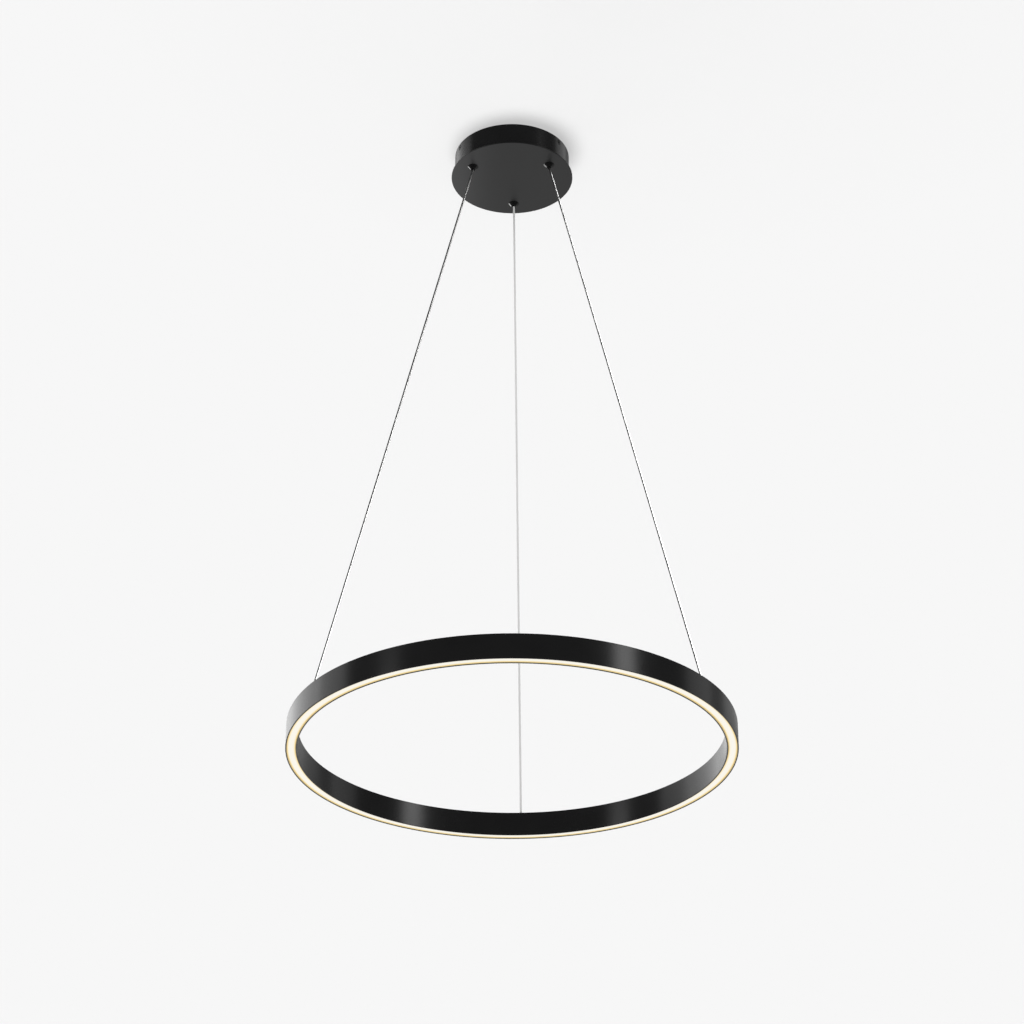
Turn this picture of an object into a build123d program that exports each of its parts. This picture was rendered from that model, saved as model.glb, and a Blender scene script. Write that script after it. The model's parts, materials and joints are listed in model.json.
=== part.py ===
"""Ring chandelier: a slim LED ring hung from a round ceiling canopy.

Millimetres, +Z up. The origin is the centre of the canopy's top face, which lies against the ceiling,
so everything else is below it. The three suspension points share three angles round the Z axis.
"""

from build123d import *
import math
import os

# ---------------------------------------------------------------- driving dimensions
# overall
ring_drop = 970.0
ring_outer_radius = 300.0
ring_width = 15.5
ring_height = 34.0
canopy_height = 38.0
drum_radius = 85.0
plate_overhang = 5.0

# the three suspension angles, in degrees round +Z
left_angle = 207.5
right_angle = 327.5
cable_angle = 87.5
between_suspensions = 60.0

# ring channel and diffuser
ring_wall = 1.6
ring_top_web = 2.0
edge_round = 0.4
diffuser_recess = 1.5
diffuser_thickness = 1.6
diffuser_leg_height = 6.5
diffuser_leg_thickness = 1.0
diffuser_clearance = 0.15
bead_depth = 0.3
bead_height = 1.2
bead_above_face = 3.6
groove_play = 0.15

# light source
carrier_below_top = 19.0
carrier_thickness = 1.5
carrier_clearance = 0.2
carrier_gap_degrees = 0.6
tape_margin = 1.15
tape_thickness = 0.3
tape_gap_degrees = 1.2
chip_length = 3.5
chip_width = 2.8
chip_height = 0.8
chip_count = 108
lead_hole_radius = 2.6

# anchors in the ring
pivot_inset = 0.75
pivot_depth = 6.5
ball_end_radius = 2.8
ball_seat_clearance = 0.15
crimp_radius = 2.2
crimp_length = 6.0
wire_end_gap = 0.3
block_length = 22.0
block_wall_clearance = 0.35
block_screw_offset = 8.0
slot_side_clearance = 0.5
slot_inner_clearance = 0.2
post_margin = 1.15
top_screw_length = 6.0
carrier_screw_length = 6.5
clamp_screw_drop = 1.7
cable_channel_mouth = 5.5
cable_bore_clearance = 0.2
cable_channel_play = 0.6
run_above_carrier = 4.0

# canopy shell
drum_wall = 1.2
drum_ceiling_gap = 0.5
drum_flange_width = 9.0
plate_thickness = 2.0
plate_stud_inset = 4.5
base_thickness = 1.5
base_rim_height = 14.0
base_rim_thickness = 1.5
base_rim_clearance = 0.4
side_screw_drop = 7.3
side_screw_turn = -2.8
side_screw_play = 0.4
side_screw_head_radius = 3.5
side_screw_head_height = 1.3
side_screw_shank = 8.5
side_socket_radius = 1.4
rim_nut_side = 7.0
rim_nut_thickness = 3.0
rim_nut_clearance = 0.1

# ceiling fixing and supply entry
slot_inset = 11.9
slot_length = 12.0
slot_half_width = 2.5
entry_y = -62.0
entry_hole_radius = 8.0
grommet_bore_radius = 4.5
grommet_flange_overlap = 2.5
grommet_flange_thickness = 1.8
grommet_neck_clearance = 0.1

# suspension
wire_diameter = 3.0
cable_diameter = 3.0
gripper_inset = 18.8
gripper_head_radius = 8.0
gripper_tip_wall = 1.0
gripper_head_height = 4.5
gripper_barrel_height = 18.0
gripper_cavity_room = 1.3
gripper_cavity_floor = 8.0
gripper_taper_start = 2.0
gripper_hole_clearance = 0.2
plunger_wall = 1.2
plunger_running_clearance = 0.08
plunger_bore_clearance = 0.3
plunger_projection = 1.5
plunger_lip = 0.3
plunger_mouth_depth = 3.0
plunger_flange_gap = 0.6
plunger_flange_bottom = 6.2
plunger_flange_thickness = 1.0
grip_ball_radius = 0.8
grip_ball_gap = 0.1
grip_ball_rise = 1.2
grip_ball_count = 3
spring_wire_radius = 0.25
spring_stand_off = 0.05
spring_turns = 4
spring_end_gap = 0.15
cap_bore_clearance = 0.5
cap_plug_clearance = 0.08
cap_plug_depth = 3.0
cap_thickness = 1.0
bend_above_exit = 1.5
arc_share = 0.45
cord_grip_barrel_height = 14.0
cord_sleeve_clearance = 0.05
cord_sleeve_top = 11.0

# threads and fasteners
m3_radius = 1.5
m4_radius = 2.0
m10_radius = 5.0
m3_head_radius = 2.8
m3_head_height = 1.4
m3_nut_flats = 5.5
m3_nut_thickness = 2.4
m4_nut_flats = 7.0
m4_nut_thickness = 3.2
m10_nut_flats = 14.0
m10_nut_thickness = 4.0
thread_clearance = 0.05
stud_hole_clearance = 0.2
stud_past_nut = 1.5
through = 1.0
socket_radius = 0.9
socket_depth = 0.8

# driver and terminal block
driver_length = 108.0
driver_width = 44.0
driver_height = 22.0
driver_wall = 1.6
driver_y = 14.0
driver_lid_thickness = 2.0
driver_lip_height = 3.0
driver_lip_clearance = 0.15
driver_ear_length = 12.0
driver_ear_width = 16.0
driver_ear_thickness = 2.4
driver_headroom = 2.8
board_margin = 1.4
board_terminal_clearance = 1.6
board_terminal_width = 12.0
lead_entry_clearance = 0.3
transformer_x = 25.0
transformer_core = 24.0
transformer_cheek = 2.0
transformer_width = 20.0
capacitor_radius = 5.0
capacitor_xs = (-6.0, -44.0)
capacitor_y = 8.0
choke_radius = 7.0
choke_bore = 3.0
choke_height = 6.0
choke_x = -42.0
choke_y = -8.0
board_thickness = 1.6
board_post_height = 3.0
board_post_radius = 2.0
board_post_inset = 5.0
board_terminal_depth = 8.0
terminal_headroom = 3.8
output_x = -25.0
input_x = 4.0
lead_drop = 10.0
block_pole_pitch = 11.0
terminal_length = 34.0
terminal_width = 18.0
terminal_height = 15.0
terminal_y = -40.0
terminal_hole_clearance = 0.2
screw_access_clearance = 0.4
screw_recess = 1.5
screw_bite = 0.4
slit_half_width = 0.3
clamp_width = 5.5
clamp_length = 15.0
clamp_height = 6.0
clamp_clearance = 0.2
clamp_bore_radius = 1.6
clamp_above_base = 4.0
supply_lead_diameter = 2.4
earth_x = 44.0
earth_y = -52.0
tag_radius = 4.0
tag_thickness = 0.8
tag_tongue = 5.0
tag_tongue_half_width = 1.5
cable_tail_rise = -12.0
wire_tail_rise = -5.0
ring_lead_diameter = 1.2
connector_length = 14.0
connector_height = 6.0
connector_width = 7.0
connector_distance = 26.0
lead_straight = 4.0

# ---------------------------------------------------------------- places worked out from them
ring_inner_radius = ring_outer_radius - ring_width
ring_mid_radius = ring_outer_radius - ring_width / 2
ring_bottom = -ring_drop
ring_top = ring_bottom + ring_height
channel_inner = ring_inner_radius + ring_wall
channel_outer = ring_outer_radius - ring_wall
chamber_top = ring_top - ring_top_web
carrier_bottom = ring_top - carrier_below_top
carrier_top = carrier_bottom + carrier_thickness
chamber_half = (channel_outer - channel_inner) / 2
tape_half = chamber_half - tape_margin
post_radius = chamber_half - post_margin
pivot_radius = ring_mid_radius - pivot_inset
pivot_z = ring_top - pivot_depth
cable_run_z = carrier_top + run_above_carrier
clamp_screw_z = pivot_z - clamp_screw_drop

plate_bottom = -canopy_height
plate_top = plate_bottom + plate_thickness
plate_radius = drum_radius + plate_overhang
plate_stud_length = drum_wall + m4_nut_thickness + stud_past_nut
drum_inner = drum_radius - drum_wall
base_radius = drum_inner - base_rim_clearance
rim_inner = base_radius - base_rim_thickness
base_bottom = -base_thickness
slot_spacing = 2 * (rim_inner - slot_inset)
side_screw_hole_radius = side_screw_head_radius + side_screw_play
grommet_flange_radius = entry_hole_radius + grommet_flange_overlap
plate_stud_radius = drum_inner - plate_stud_inset

wire_radius = wire_diameter / 2
cable_radius = cable_diameter / 2
gripper_radius = drum_inner - gripper_inset
gripper_barrel_radius = m10_radius
plunger_bore_radius = wire_radius + plunger_bore_clearance
plunger_radius = plunger_bore_radius + plunger_wall
plunger_mouth_radius = plunger_radius - plunger_lip
gripper_tip_radius = plunger_radius + gripper_tip_wall
gripper_cavity_radius = plunger_radius + gripper_cavity_room
plunger_flange_radius = gripper_cavity_radius - plunger_flange_gap
grip_ball_height = gripper_taper_start + grip_ball_rise
spring_mean_radius = plunger_radius + spring_stand_off + spring_wire_radius
exit_z = plate_bottom - gripper_head_height - plunger_projection
bend_z = exit_z + bend_above_exit
wire_lean = math.atan2(pivot_radius - gripper_radius, bend_z - pivot_z)
exit_radius = gripper_radius + bend_above_exit * math.tan(wire_lean)

driver_bottom = base_bottom - driver_height
driver_south = driver_y - driver_width / 2
driver_north = driver_y + driver_width / 2
board_bottom = driver_bottom + board_post_height
board_top = board_bottom + board_thickness
driver_room = base_bottom - driver_wall - board_top
capacitor_height = driver_room - driver_headroom
board_terminal_height = driver_room - terminal_headroom
transformer_height = driver_room - driver_headroom - transformer_cheek / 2
driver_stud_length = driver_ear_thickness + m4_nut_thickness + stud_past_nut
terminal_stud_length = terminal_height + m3_nut_thickness + stud_past_nut
earth_stud_length = tag_thickness + m4_nut_thickness + stud_past_nut
supply_face = driver_south + driver_wall + board_terminal_clearance
output_face = driver_north - driver_wall - board_terminal_clearance
terminal_north = terminal_y + terminal_width / 2
clamp_z = base_bottom - clamp_above_base - clamp_height / 2
clamp_north = terminal_y + clamp_length / 2
driver_stud_x = driver_length / 2 + driver_ear_length / 2

suspension_angles = [left_angle, right_angle, cable_angle]
post_angles = [angle + between_suspensions for angle in suspension_angles]
side_screw_angles = [angle + side_screw_turn for angle in suspension_angles]


# ---------------------------------------------------------------- helpers
def turned(outline):
    """Solid of revolution about Z from a closed outline of (radius, height) points."""
    points = [(radius, 0, height) for radius, height in outline]
    return revolve(make_face(Polyline(*points, close=True)), axis=Axis.Z)


def block(x_range, y_range, z_range):
    """Box between three pairs of limits."""
    size = [abs(high - low) for low, high in (x_range, y_range, z_range)]
    middle = [(low + high) / 2 for low, high in (x_range, y_range, z_range)]
    return Pos(*middle) * Box(*size)


def upright(radius, bottom, top, x=0.0, y=0.0):
    """Vertical cylinder between two heights."""
    return Pos(x, y, (bottom + top) / 2) * Cylinder(radius, top - bottom)


def rod_along_x(radius, start, end, z):
    """Cylinder along X, at height z."""
    return Pos((start + end) / 2, 0, z) * Rot(0, 90, 0) * Cylinder(radius, end - start)


def hex_nut(flats, bore, bottom, thickness):
    """Hexagon nut with its faces square to Z."""
    prism = extrude(RegularPolygon(flats / 2, 6, major_radius=False), thickness)
    return Pos(0, 0, bottom) * prism - upright(bore, bottom - through, bottom + thickness + through)


def countersunk_screw(face, length, direction):
    """M3 countersunk screw along Z: its head is flush with a face and its tip points up (1) or down (-1)."""
    outline = [
        (0, 0),
        (m3_head_radius, 0),
        (m3_radius, m3_head_height),
        (m3_radius, length),
        (0, length),
    ]
    screw = turned([(radius, direction * height) for radius, height in outline])
    socket = upright(socket_radius, -socket_depth, socket_depth)
    return Pos(0, 0, face) * (screw - socket)


def countersunk_hole(face, length, direction):
    """Space that a countersunk screw takes, with its thread clearance."""
    outline = [
        (0, -through),
        (m3_head_radius + thread_clearance, -through),
        (m3_head_radius + thread_clearance, 0),
        (m3_radius + thread_clearance, m3_head_height),
        (m3_radius + thread_clearance, length + thread_clearance),
        (0, length + thread_clearance),
    ]
    return Pos(0, 0, face) * turned([(radius, direction * height) for radius, height in outline])


def at_angle(shape, angle, radius=0.0):
    """Shape built beside the Z axis, moved out along X and turned round Z."""
    return Rot(0, 0, angle) * Pos(radius, 0, 0) * shape


def arc_radii(points):
    """Radius of the arc at each inner point: as large as the two runs beside it allow."""
    runs = [Vector(*end) - Vector(*start) for start, end in zip(points, points[1:])]
    radii = []
    for before, after in zip(runs, runs[1:]):
        turn = math.radians(before.get_angle(after))
        radii.append(arc_share * min(before.length, after.length) / math.tan(turn / 2))
    return radii


def round_path(points, diameter):
    """Tube along straight runs joined by tangent arcs; prints its arcs and length."""
    radii = arc_radii(points)
    path = FilletPolyline(*points, radius=radii)
    section = Plane(origin=path @ 0, z_dir=path % 0) * Circle(diameter / 2)
    tube = sweep(section, path=path)
    expected = math.pi * diameter**2 / 4 * path.length
    arcs = ", ".join(f"{radius:.1f}" for radius in radii)
    print(f"  arcs {arcs}, length {path.length:.1f}, volume share {tube.volume / expected:.4f}")
    return tube


def straight_rod(start, end, diameter):
    """Round rod between two points."""
    run = Vector(*end) - Vector(*start)
    print(f"  straight, length {run.length:.1f}")
    return extrude(Plane(origin=start, z_dir=run) * Circle(diameter / 2), run.length)


def save(name, *shapes):
    """Write the solids of one node to its own STEP file."""
    solids = [solid for shape in shapes for solid in shape.solids()]
    print(f"{name}: {len(solids)}")
    export_step(solids[0] if len(solids) == 1 else Compound(solids), f"parts/{name}.step")


# ---------------------------------------------------------------- ring
def wire_fan(diameter):
    """Slot that a wire swings in, from its pivot up through the ring's top web."""
    half = diameter / 2 + slot_side_clearance
    inner = channel_inner + slot_inner_clearance
    above = ring_top + through
    outline = Polyline(
        (pivot_radius - half, 0, pivot_z),
        (inner, 0, ring_top),
        (inner, 0, above),
        (pivot_radius + half, 0, above),
        (pivot_radius + half, 0, pivot_z),
        close=True,
    )
    return extrude(make_face(outline), half, dir=(0, 1, 0), both=True)


def ring_channel():
    """Black channel with its open side down, grooves for the diffuser and slots for the wires."""
    groove_low = ring_bottom + diffuser_recess + bead_above_face - groove_play
    groove_high = groove_low + bead_height + 2 * groove_play
    groove = bead_depth + groove_play
    shell = turned(
        [
            (ring_inner_radius, ring_bottom),
            (ring_inner_radius, ring_top),
            (ring_outer_radius, ring_top),
            (ring_outer_radius, ring_bottom),
            (channel_outer, ring_bottom),
            (channel_outer, groove_low),
            (channel_outer + groove, groove_low),
            (channel_outer + groove, groove_high),
            (channel_outer, groove_high),
            (channel_outer, chamber_top),
            (channel_inner, chamber_top),
            (channel_inner, groove_high),
            (channel_inner - groove, groove_high),
            (channel_inner - groove, groove_low),
            (channel_inner, groove_low),
            (channel_inner, ring_bottom),
        ]
    )
    corners = [
        edge
        for edge in shell.edges()
        if any(
            abs(edge.bounding_box().max.X - radius) < 0.01 and abs(edge.center().Z - height) < 0.01
            for radius in (ring_inner_radius, ring_outer_radius)
            for height in (ring_bottom, ring_top)
        )
    ]
    shell = fillet(corners, edge_round)
    for angle, diameter in zip(suspension_angles, (wire_diameter, wire_diameter, cable_diameter)):
        shell -= at_angle(wire_fan(diameter), angle)
    for angle, offset in top_screw_places():
        hole = Pos(0, offset, 0) * countersunk_hole(ring_top, top_screw_length, -1)
        shell -= at_angle(hole, angle, ring_mid_radius)
    return shell


def top_screw_places():
    """Angle and sideways offset of each screw through the ring's top web."""
    pairs = [(angle, side * block_screw_offset) for angle in suspension_angles for side in (-1, 1)]
    return pairs + [(angle, 0.0) for angle in post_angles]


def carrier_screw_places():
    """Angle and sideways offset of each screw through the LED carrier."""
    under_blocks = [(angle, -block_screw_offset) for angle in suspension_angles]
    return under_blocks + [(angle, 0.0) for angle in post_angles]


def ring_screws(face, length, direction, places):
    """One countersunk screw at each place round the ring."""
    screw = countersunk_screw(face, length, direction)
    return [at_angle(Pos(0, offset, 0) * screw, angle, ring_mid_radius) for angle, offset in places]


def diffuser():
    """Opal strip with two legs that snap into the channel's grooves."""
    low = channel_inner + diffuser_clearance
    high = channel_outer - diffuser_clearance
    face = ring_bottom + diffuser_recess
    back = face + diffuser_thickness
    leg_top = face + diffuser_leg_height
    bead_low = face + bead_above_face
    bead_high = bead_low + bead_height
    leg = diffuser_leg_thickness
    return turned(
        [
            (low, face),
            (high, face),
            (high, bead_low),
            (high + bead_depth, bead_low),
            (high + bead_depth, bead_high),
            (high, bead_high),
            (high, leg_top),
            (high - leg, leg_top),
            (high - leg, back),
            (low + leg, back),
            (low + leg, leg_top),
            (low, leg_top),
            (low, bead_high),
            (low - bead_depth, bead_high),
            (low - bead_depth, bead_low),
            (low, bead_low),
        ]
    )


def strip(inner, outer, bottom, top, gap_degrees):
    """Flat strip bent round the ring, with a gap where its ends meet, beside the cable's entry."""
    outline = Polyline((inner, 0, bottom), (outer, 0, bottom), (outer, 0, top), (inner, 0, top), close=True)
    band = revolve(make_face(outline), axis=Axis.Z, revolution_arc=360 - gap_degrees)
    return Rot(0, 0, cable_angle - between_suspensions / 2 + gap_degrees / 2) * band


def connector_turn():
    """Angle along the ring from the cable's entry to the near end of the connector."""
    return math.degrees(connector_distance / ring_mid_radius)


def led_carrier():
    """Aluminium strip that carries the LED tape."""
    inner = channel_inner + carrier_clearance
    outer = channel_outer - carrier_clearance
    band = strip(inner, outer, carrier_bottom, carrier_top, carrier_gap_degrees)
    for angle, offset in carrier_screw_places():
        hole = countersunk_hole(carrier_bottom, carrier_screw_length, 1)
        band -= at_angle(Pos(0, offset, 0) * hole, angle, ring_mid_radius)
    lead_hole = upright(lead_hole_radius, carrier_bottom - through, carrier_top + through)
    lead_hole = Pos(0, connector_length + lead_straight, 0) * lead_hole
    return band - at_angle(lead_hole, cable_angle + connector_turn(), ring_mid_radius)


def led_tape():
    """Flexible circuit strip stuck under the carrier."""
    inner = ring_mid_radius - tape_half
    outer = ring_mid_radius + tape_half
    return strip(inner, outer, carrier_bottom - tape_thickness, carrier_bottom, tape_gap_degrees)


def led_chips():
    """Light emitting chips, evenly spaced along the tape."""
    tape_bottom = carrier_bottom - tape_thickness
    heights = (tape_bottom - chip_height, tape_bottom)
    chip = block((-chip_width / 2, chip_width / 2), (-chip_length / 2, chip_length / 2), heights)
    step = 360 / chip_count
    first = cable_angle - between_suspensions / 2 + step / 2
    return [at_angle(chip, first + step * index, ring_mid_radius) for index in range(chip_count)]


def anchor_body(diameter):
    """Block under the top web, with the slot and the screw holes that all anchors share."""
    half_width = chamber_half - block_wall_clearance
    body = block(
        (ring_mid_radius - half_width, ring_mid_radius + half_width),
        (-block_length / 2, block_length / 2),
        (carrier_top, chamber_top),
    )
    body -= wire_fan(diameter)
    for side in (-1, 1):
        hole = countersunk_hole(ring_top, top_screw_length, -1)
        body -= Pos(ring_mid_radius, side * block_screw_offset, 0) * hole
    hole = countersunk_hole(carrier_bottom, carrier_screw_length, 1)
    return body - Pos(ring_mid_radius, -block_screw_offset, 0) * hole


def wire_anchor():
    """Anchor block with a round seat for a wire's ball end."""
    seat = ball_end_radius + ball_seat_clearance
    pocket = upright(seat, carrier_top - through, pivot_z, pivot_radius)
    return anchor_body(wire_diameter) - pocket - Pos(pivot_radius, 0, pivot_z) * Sphere(seat)


def cable_anchor():
    """Anchor block that lets the power cable in and turns it along the ring."""
    bore = cable_radius + cable_bore_clearance
    wide = bore + cable_channel_play
    sides = (pivot_radius - wide, pivot_radius + wide)
    body = anchor_body(cable_diameter)
    body -= upright(bore, cable_run_z - bore, pivot_z + thread_clearance, pivot_radius)
    body -= block(sides, (0, cable_channel_mouth), (cable_run_z - bore, clamp_screw_z + m3_radius))
    body -= block(sides, (cable_channel_mouth, block_length), (cable_run_z - bore, cable_run_z + bore))
    thread = Rot(0, 0, -90) * rod_along_x(m3_radius + thread_clearance, 0, block_length, clamp_screw_z)
    return body - Pos(pivot_radius, 0, 0) * thread


def clamp_screw():
    """Grub screw that presses on the cable from the anchor's end."""
    end = block_length / 2
    rod = rod_along_x(m3_radius, cable_radius + thread_clearance, end, clamp_screw_z)
    socket = rod_along_x(socket_radius, end - socket_depth, end + through, clamp_screw_z)
    return at_angle(Pos(pivot_radius, 0, 0) * Rot(0, 0, -90) * (rod - socket), cable_angle)


def ball_end():
    """Ball and crimp pressed on a wire's lower end."""
    crimp = upright(crimp_radius, pivot_z - ball_end_radius - crimp_length, pivot_z, pivot_radius)
    return Pos(pivot_radius, 0, pivot_z) * Sphere(ball_end_radius) + crimp


def spacer_post():
    """Round post between the top web and the carrier, threaded at both ends."""
    body = upright(post_radius, carrier_top, chamber_top)
    body -= countersunk_hole(ring_top, top_screw_length, -1)
    return body - countersunk_hole(carrier_bottom, carrier_screw_length, 1)


def beside_connector(offset, z, side=0.0):
    """Point in the cable entry's axes, at an offset along the connector from its near end."""
    turn = math.radians(connector_turn())
    radius = ring_mid_radius + side
    return (
        radius * math.cos(turn) - offset * math.sin(turn),
        radius * math.sin(turn) + offset * math.cos(turn),
        z,
    )


def ring_cable_tail():
    """Power cable inside the ring, from its anchor to the connector."""
    points = [
        (pivot_radius, 0, pivot_z - wire_end_gap),
        (pivot_radius, 0, cable_run_z),
        beside_connector(-connector_distance / 2, cable_run_z),
        beside_connector(0, cable_run_z),
    ]
    return at_angle(round_path(points, cable_diameter), cable_angle)


def ring_connector():
    """Two-way plug and socket between the cable and the tape's leads."""
    size = block(
        (-connector_width / 2, connector_width / 2),
        (0, connector_length),
        (cable_run_z - connector_height / 2, cable_run_z + connector_height / 2),
    )
    return at_angle(size, cable_angle + connector_turn(), ring_mid_radius)


def ring_leads():
    """Two thin leads from the connector down through the carrier to the tape."""
    near = connector_length
    far = connector_length + lead_straight
    leads = []
    for side in (-ring_lead_diameter, ring_lead_diameter):
        points = [
            beside_connector(near, cable_run_z, side),
            beside_connector(far, cable_run_z, side),
            beside_connector(far, carrier_bottom, side),
        ]
        leads.append(at_angle(round_path(points, ring_lead_diameter), cable_angle))
    return leads


# ---------------------------------------------------------------- suspension
def point_at(radius, z, angle):
    """World point at a radius, height and angle."""
    turn = math.radians(angle)
    return (radius * math.cos(turn), radius * math.sin(turn), z)


def hanging_run(angle, diameter, stand_off):
    """Straight stretch of a wire or cable between its gripper and its anchor in the ring."""
    span = math.hypot(pivot_radius - exit_radius, exit_z - pivot_z)
    share = 1 - stand_off / span
    end_radius = exit_radius + share * (pivot_radius - exit_radius)
    end_z = exit_z + share * (pivot_z - exit_z)
    return straight_rod(point_at(exit_radius, exit_z, angle), point_at(end_radius, end_z, angle), diameter)


def inner_tail(angle, diameter, rise_to, onward):
    """Stretch above the exit: up through the gripper and on across the canopy."""
    points = [
        point_at(exit_radius, exit_z, angle),
        point_at(gripper_radius, bend_z, angle),
        point_at(gripper_radius, rise_to, angle),
    ]
    return round_path(points + onward, diameter)


def gripper_body(height, cavity):
    """Threaded barrel with a conical head under the plate, and its stepped bore."""
    outline = [
        (cavity[0][0], -gripper_head_height),
        (gripper_tip_radius, -gripper_head_height),
        (gripper_head_radius, 0),
        (gripper_barrel_radius, 0),
        (gripper_barrel_radius, height),
        *reversed(cavity),
    ]
    return Pos(0, 0, plate_bottom) * turned(outline)


def wire_gripper_body():
    """Gripper body with the taper that wedges the balls on the wire."""
    running = plunger_radius + plunger_running_clearance
    cavity = [
        (running, gripper_taper_start),
        (gripper_cavity_radius, gripper_cavity_floor),
        (gripper_cavity_radius, gripper_barrel_height),
    ]
    return gripper_body(gripper_barrel_height, cavity)


def plunger():
    """Release sleeve: pushed up, it lifts the balls off the taper and frees the wire."""
    tip = -gripper_head_height - plunger_projection
    flange_top = plunger_flange_bottom + plunger_flange_thickness
    sleeve = turned(
        [
            (plunger_mouth_radius, tip),
            (plunger_radius, tip),
            (plunger_radius, plunger_flange_bottom),
            (plunger_flange_radius, plunger_flange_bottom),
            (plunger_flange_radius, flange_top),
            (plunger_bore_radius, flange_top),
            (plunger_bore_radius, tip + plunger_mouth_depth),
        ]
    )
    for index in range(grip_ball_count):
        hole = rod_along_x(grip_ball_radius + grip_ball_gap, 0, plunger_radius + through, grip_ball_height)
        sleeve -= Rot(0, 0, 360 / grip_ball_count * index) * hole
    return Pos(0, 0, plate_bottom) * sleeve


def grip_balls():
    """Steel balls in the plunger's windows."""
    out = wire_radius + grip_ball_gap + grip_ball_radius
    ball = Pos(out, 0, plate_bottom + grip_ball_height) * Sphere(grip_ball_radius)
    return [Rot(0, 0, 360 / grip_ball_count * index) * ball for index in range(grip_ball_count)]


def gripper_spring():
    """Compression spring between the plunger's flange and the cap."""
    low = plunger_flange_bottom + plunger_flange_thickness + spring_end_gap + spring_wire_radius
    high = gripper_barrel_height - cap_plug_depth - spring_end_gap - spring_wire_radius
    path = Helix((high - low) / spring_turns, high - low, spring_mean_radius)
    section = Plane(origin=path @ 0, z_dir=path % 0) * Circle(spring_wire_radius)
    return Pos(0, 0, plate_bottom + low) * sweep(section, path=path, is_frenet=True)


def gripper_cap(bore, height, cavity):
    """Screwed cap that closes the top of a gripper."""
    plug = cavity - cap_plug_clearance
    return Pos(0, 0, plate_bottom) * turned(
        [
            (bore, height - cap_plug_depth),
            (plug, height - cap_plug_depth),
            (plug, height),
            (gripper_barrel_radius, height),
            (gripper_barrel_radius, height + cap_thickness),
            (bore, height + cap_thickness),
        ]
    )


def cord_grip_body():
    """Cord grip with the same outside as the wire grippers."""
    running = plunger_radius + plunger_running_clearance
    cavity = [
        (running, gripper_taper_start),
        (gripper_cavity_radius, gripper_cavity_floor),
        (gripper_cavity_radius, cord_grip_barrel_height),
    ]
    return gripper_body(cord_grip_barrel_height, cavity)


def cord_grip_sleeve():
    """Nylon sleeve squeezed round the cable by the cap."""
    tip = -gripper_head_height - plunger_projection
    bore = cable_radius + cord_sleeve_clearance
    return Pos(0, 0, plate_bottom) * turned(
        [
            (plunger_mouth_radius, tip),
            (plunger_radius, tip),
            (plunger_radius, gripper_taper_start),
            (plunger_flange_radius, plunger_flange_bottom),
            (plunger_flange_radius, cord_sleeve_top),
            (bore, cord_sleeve_top),
            (bore, tip + plunger_mouth_depth),
        ]
    )


def gripper_nuts():
    """Nuts that hold the two grippers and the cord grip in the plate."""
    nut = hex_nut(m10_nut_flats, m10_radius + thread_clearance, plate_top, m10_nut_thickness)
    return [at_angle(nut, angle, gripper_radius) for angle in suspension_angles]


# ---------------------------------------------------------------- canopy
def canopy_plate():
    """Flat disc that closes the canopy, with holes for the grippers and three studs."""
    disc = upright(plate_radius, plate_bottom, plate_top)
    disc = fillet(disc.edges().filter_by(GeomType.CIRCLE), edge_round)
    hole_radius = gripper_barrel_radius + gripper_hole_clearance
    hole = upright(hole_radius, plate_bottom - through, plate_top + through)
    for angle in suspension_angles:
        disc -= at_angle(hole, angle, gripper_radius)
    stud = upright(m4_radius, plate_top, plate_top + plate_stud_length)
    for angle in post_angles:
        disc += at_angle(stud, angle, plate_stud_radius)
    return disc


def canopy_drum():
    """Cylindrical wall of the canopy, with an inward flange on the plate and three side holes."""
    flange = drum_inner - drum_flange_width
    wall = turned(
        [
            (drum_inner, -drum_ceiling_gap),
            (drum_radius, -drum_ceiling_gap),
            (drum_radius, plate_top),
            (flange, plate_top),
            (flange, plate_top + drum_wall),
            (drum_inner, plate_top + drum_wall),
        ]
    )
    side_hole = rod_along_x(side_screw_hole_radius, flange, drum_radius + through, -side_screw_drop)
    for angle in side_screw_angles:
        wall -= at_angle(side_hole, angle)
    stud_hole = upright(m4_radius + stud_hole_clearance, plate_top - through, plate_top + drum_wall + through)
    for angle in post_angles:
        wall -= at_angle(stud_hole, angle, plate_stud_radius)
    return wall


def plate_nuts():
    """Nuts that hold the plate to the drum's flange."""
    nut = hex_nut(m4_nut_flats, m4_radius + thread_clearance, plate_top + drum_wall, m4_nut_thickness)
    return [at_angle(nut, angle, plate_stud_radius) for angle in post_angles]


def side_screws():
    """Screws in the base's rim, whose heads sit in the drum's side holes and hold it up."""
    outer = base_radius + side_screw_head_height
    head = rod_along_x(side_screw_head_radius, base_radius, outer, -side_screw_drop)
    shank = rod_along_x(m4_radius, base_radius - side_screw_shank, base_radius, -side_screw_drop)
    socket = rod_along_x(side_socket_radius, outer - socket_depth, outer + through, -side_screw_drop)
    return [at_angle(head + shank - socket, angle) for angle in side_screw_angles]


def rim_nuts():
    """Square nuts welded inside the base's rim."""
    half = rim_nut_side / 2
    outer = math.sqrt(rim_inner**2 - half**2) - rim_nut_clearance
    inner = outer - rim_nut_thickness
    nut = block((inner, outer), (-half, half), (-side_screw_drop - half, -side_screw_drop + half))
    nut -= rod_along_x(m4_radius + thread_clearance, inner - through, outer + through, -side_screw_drop)
    return [at_angle(nut, angle) for angle in side_screw_angles]


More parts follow.
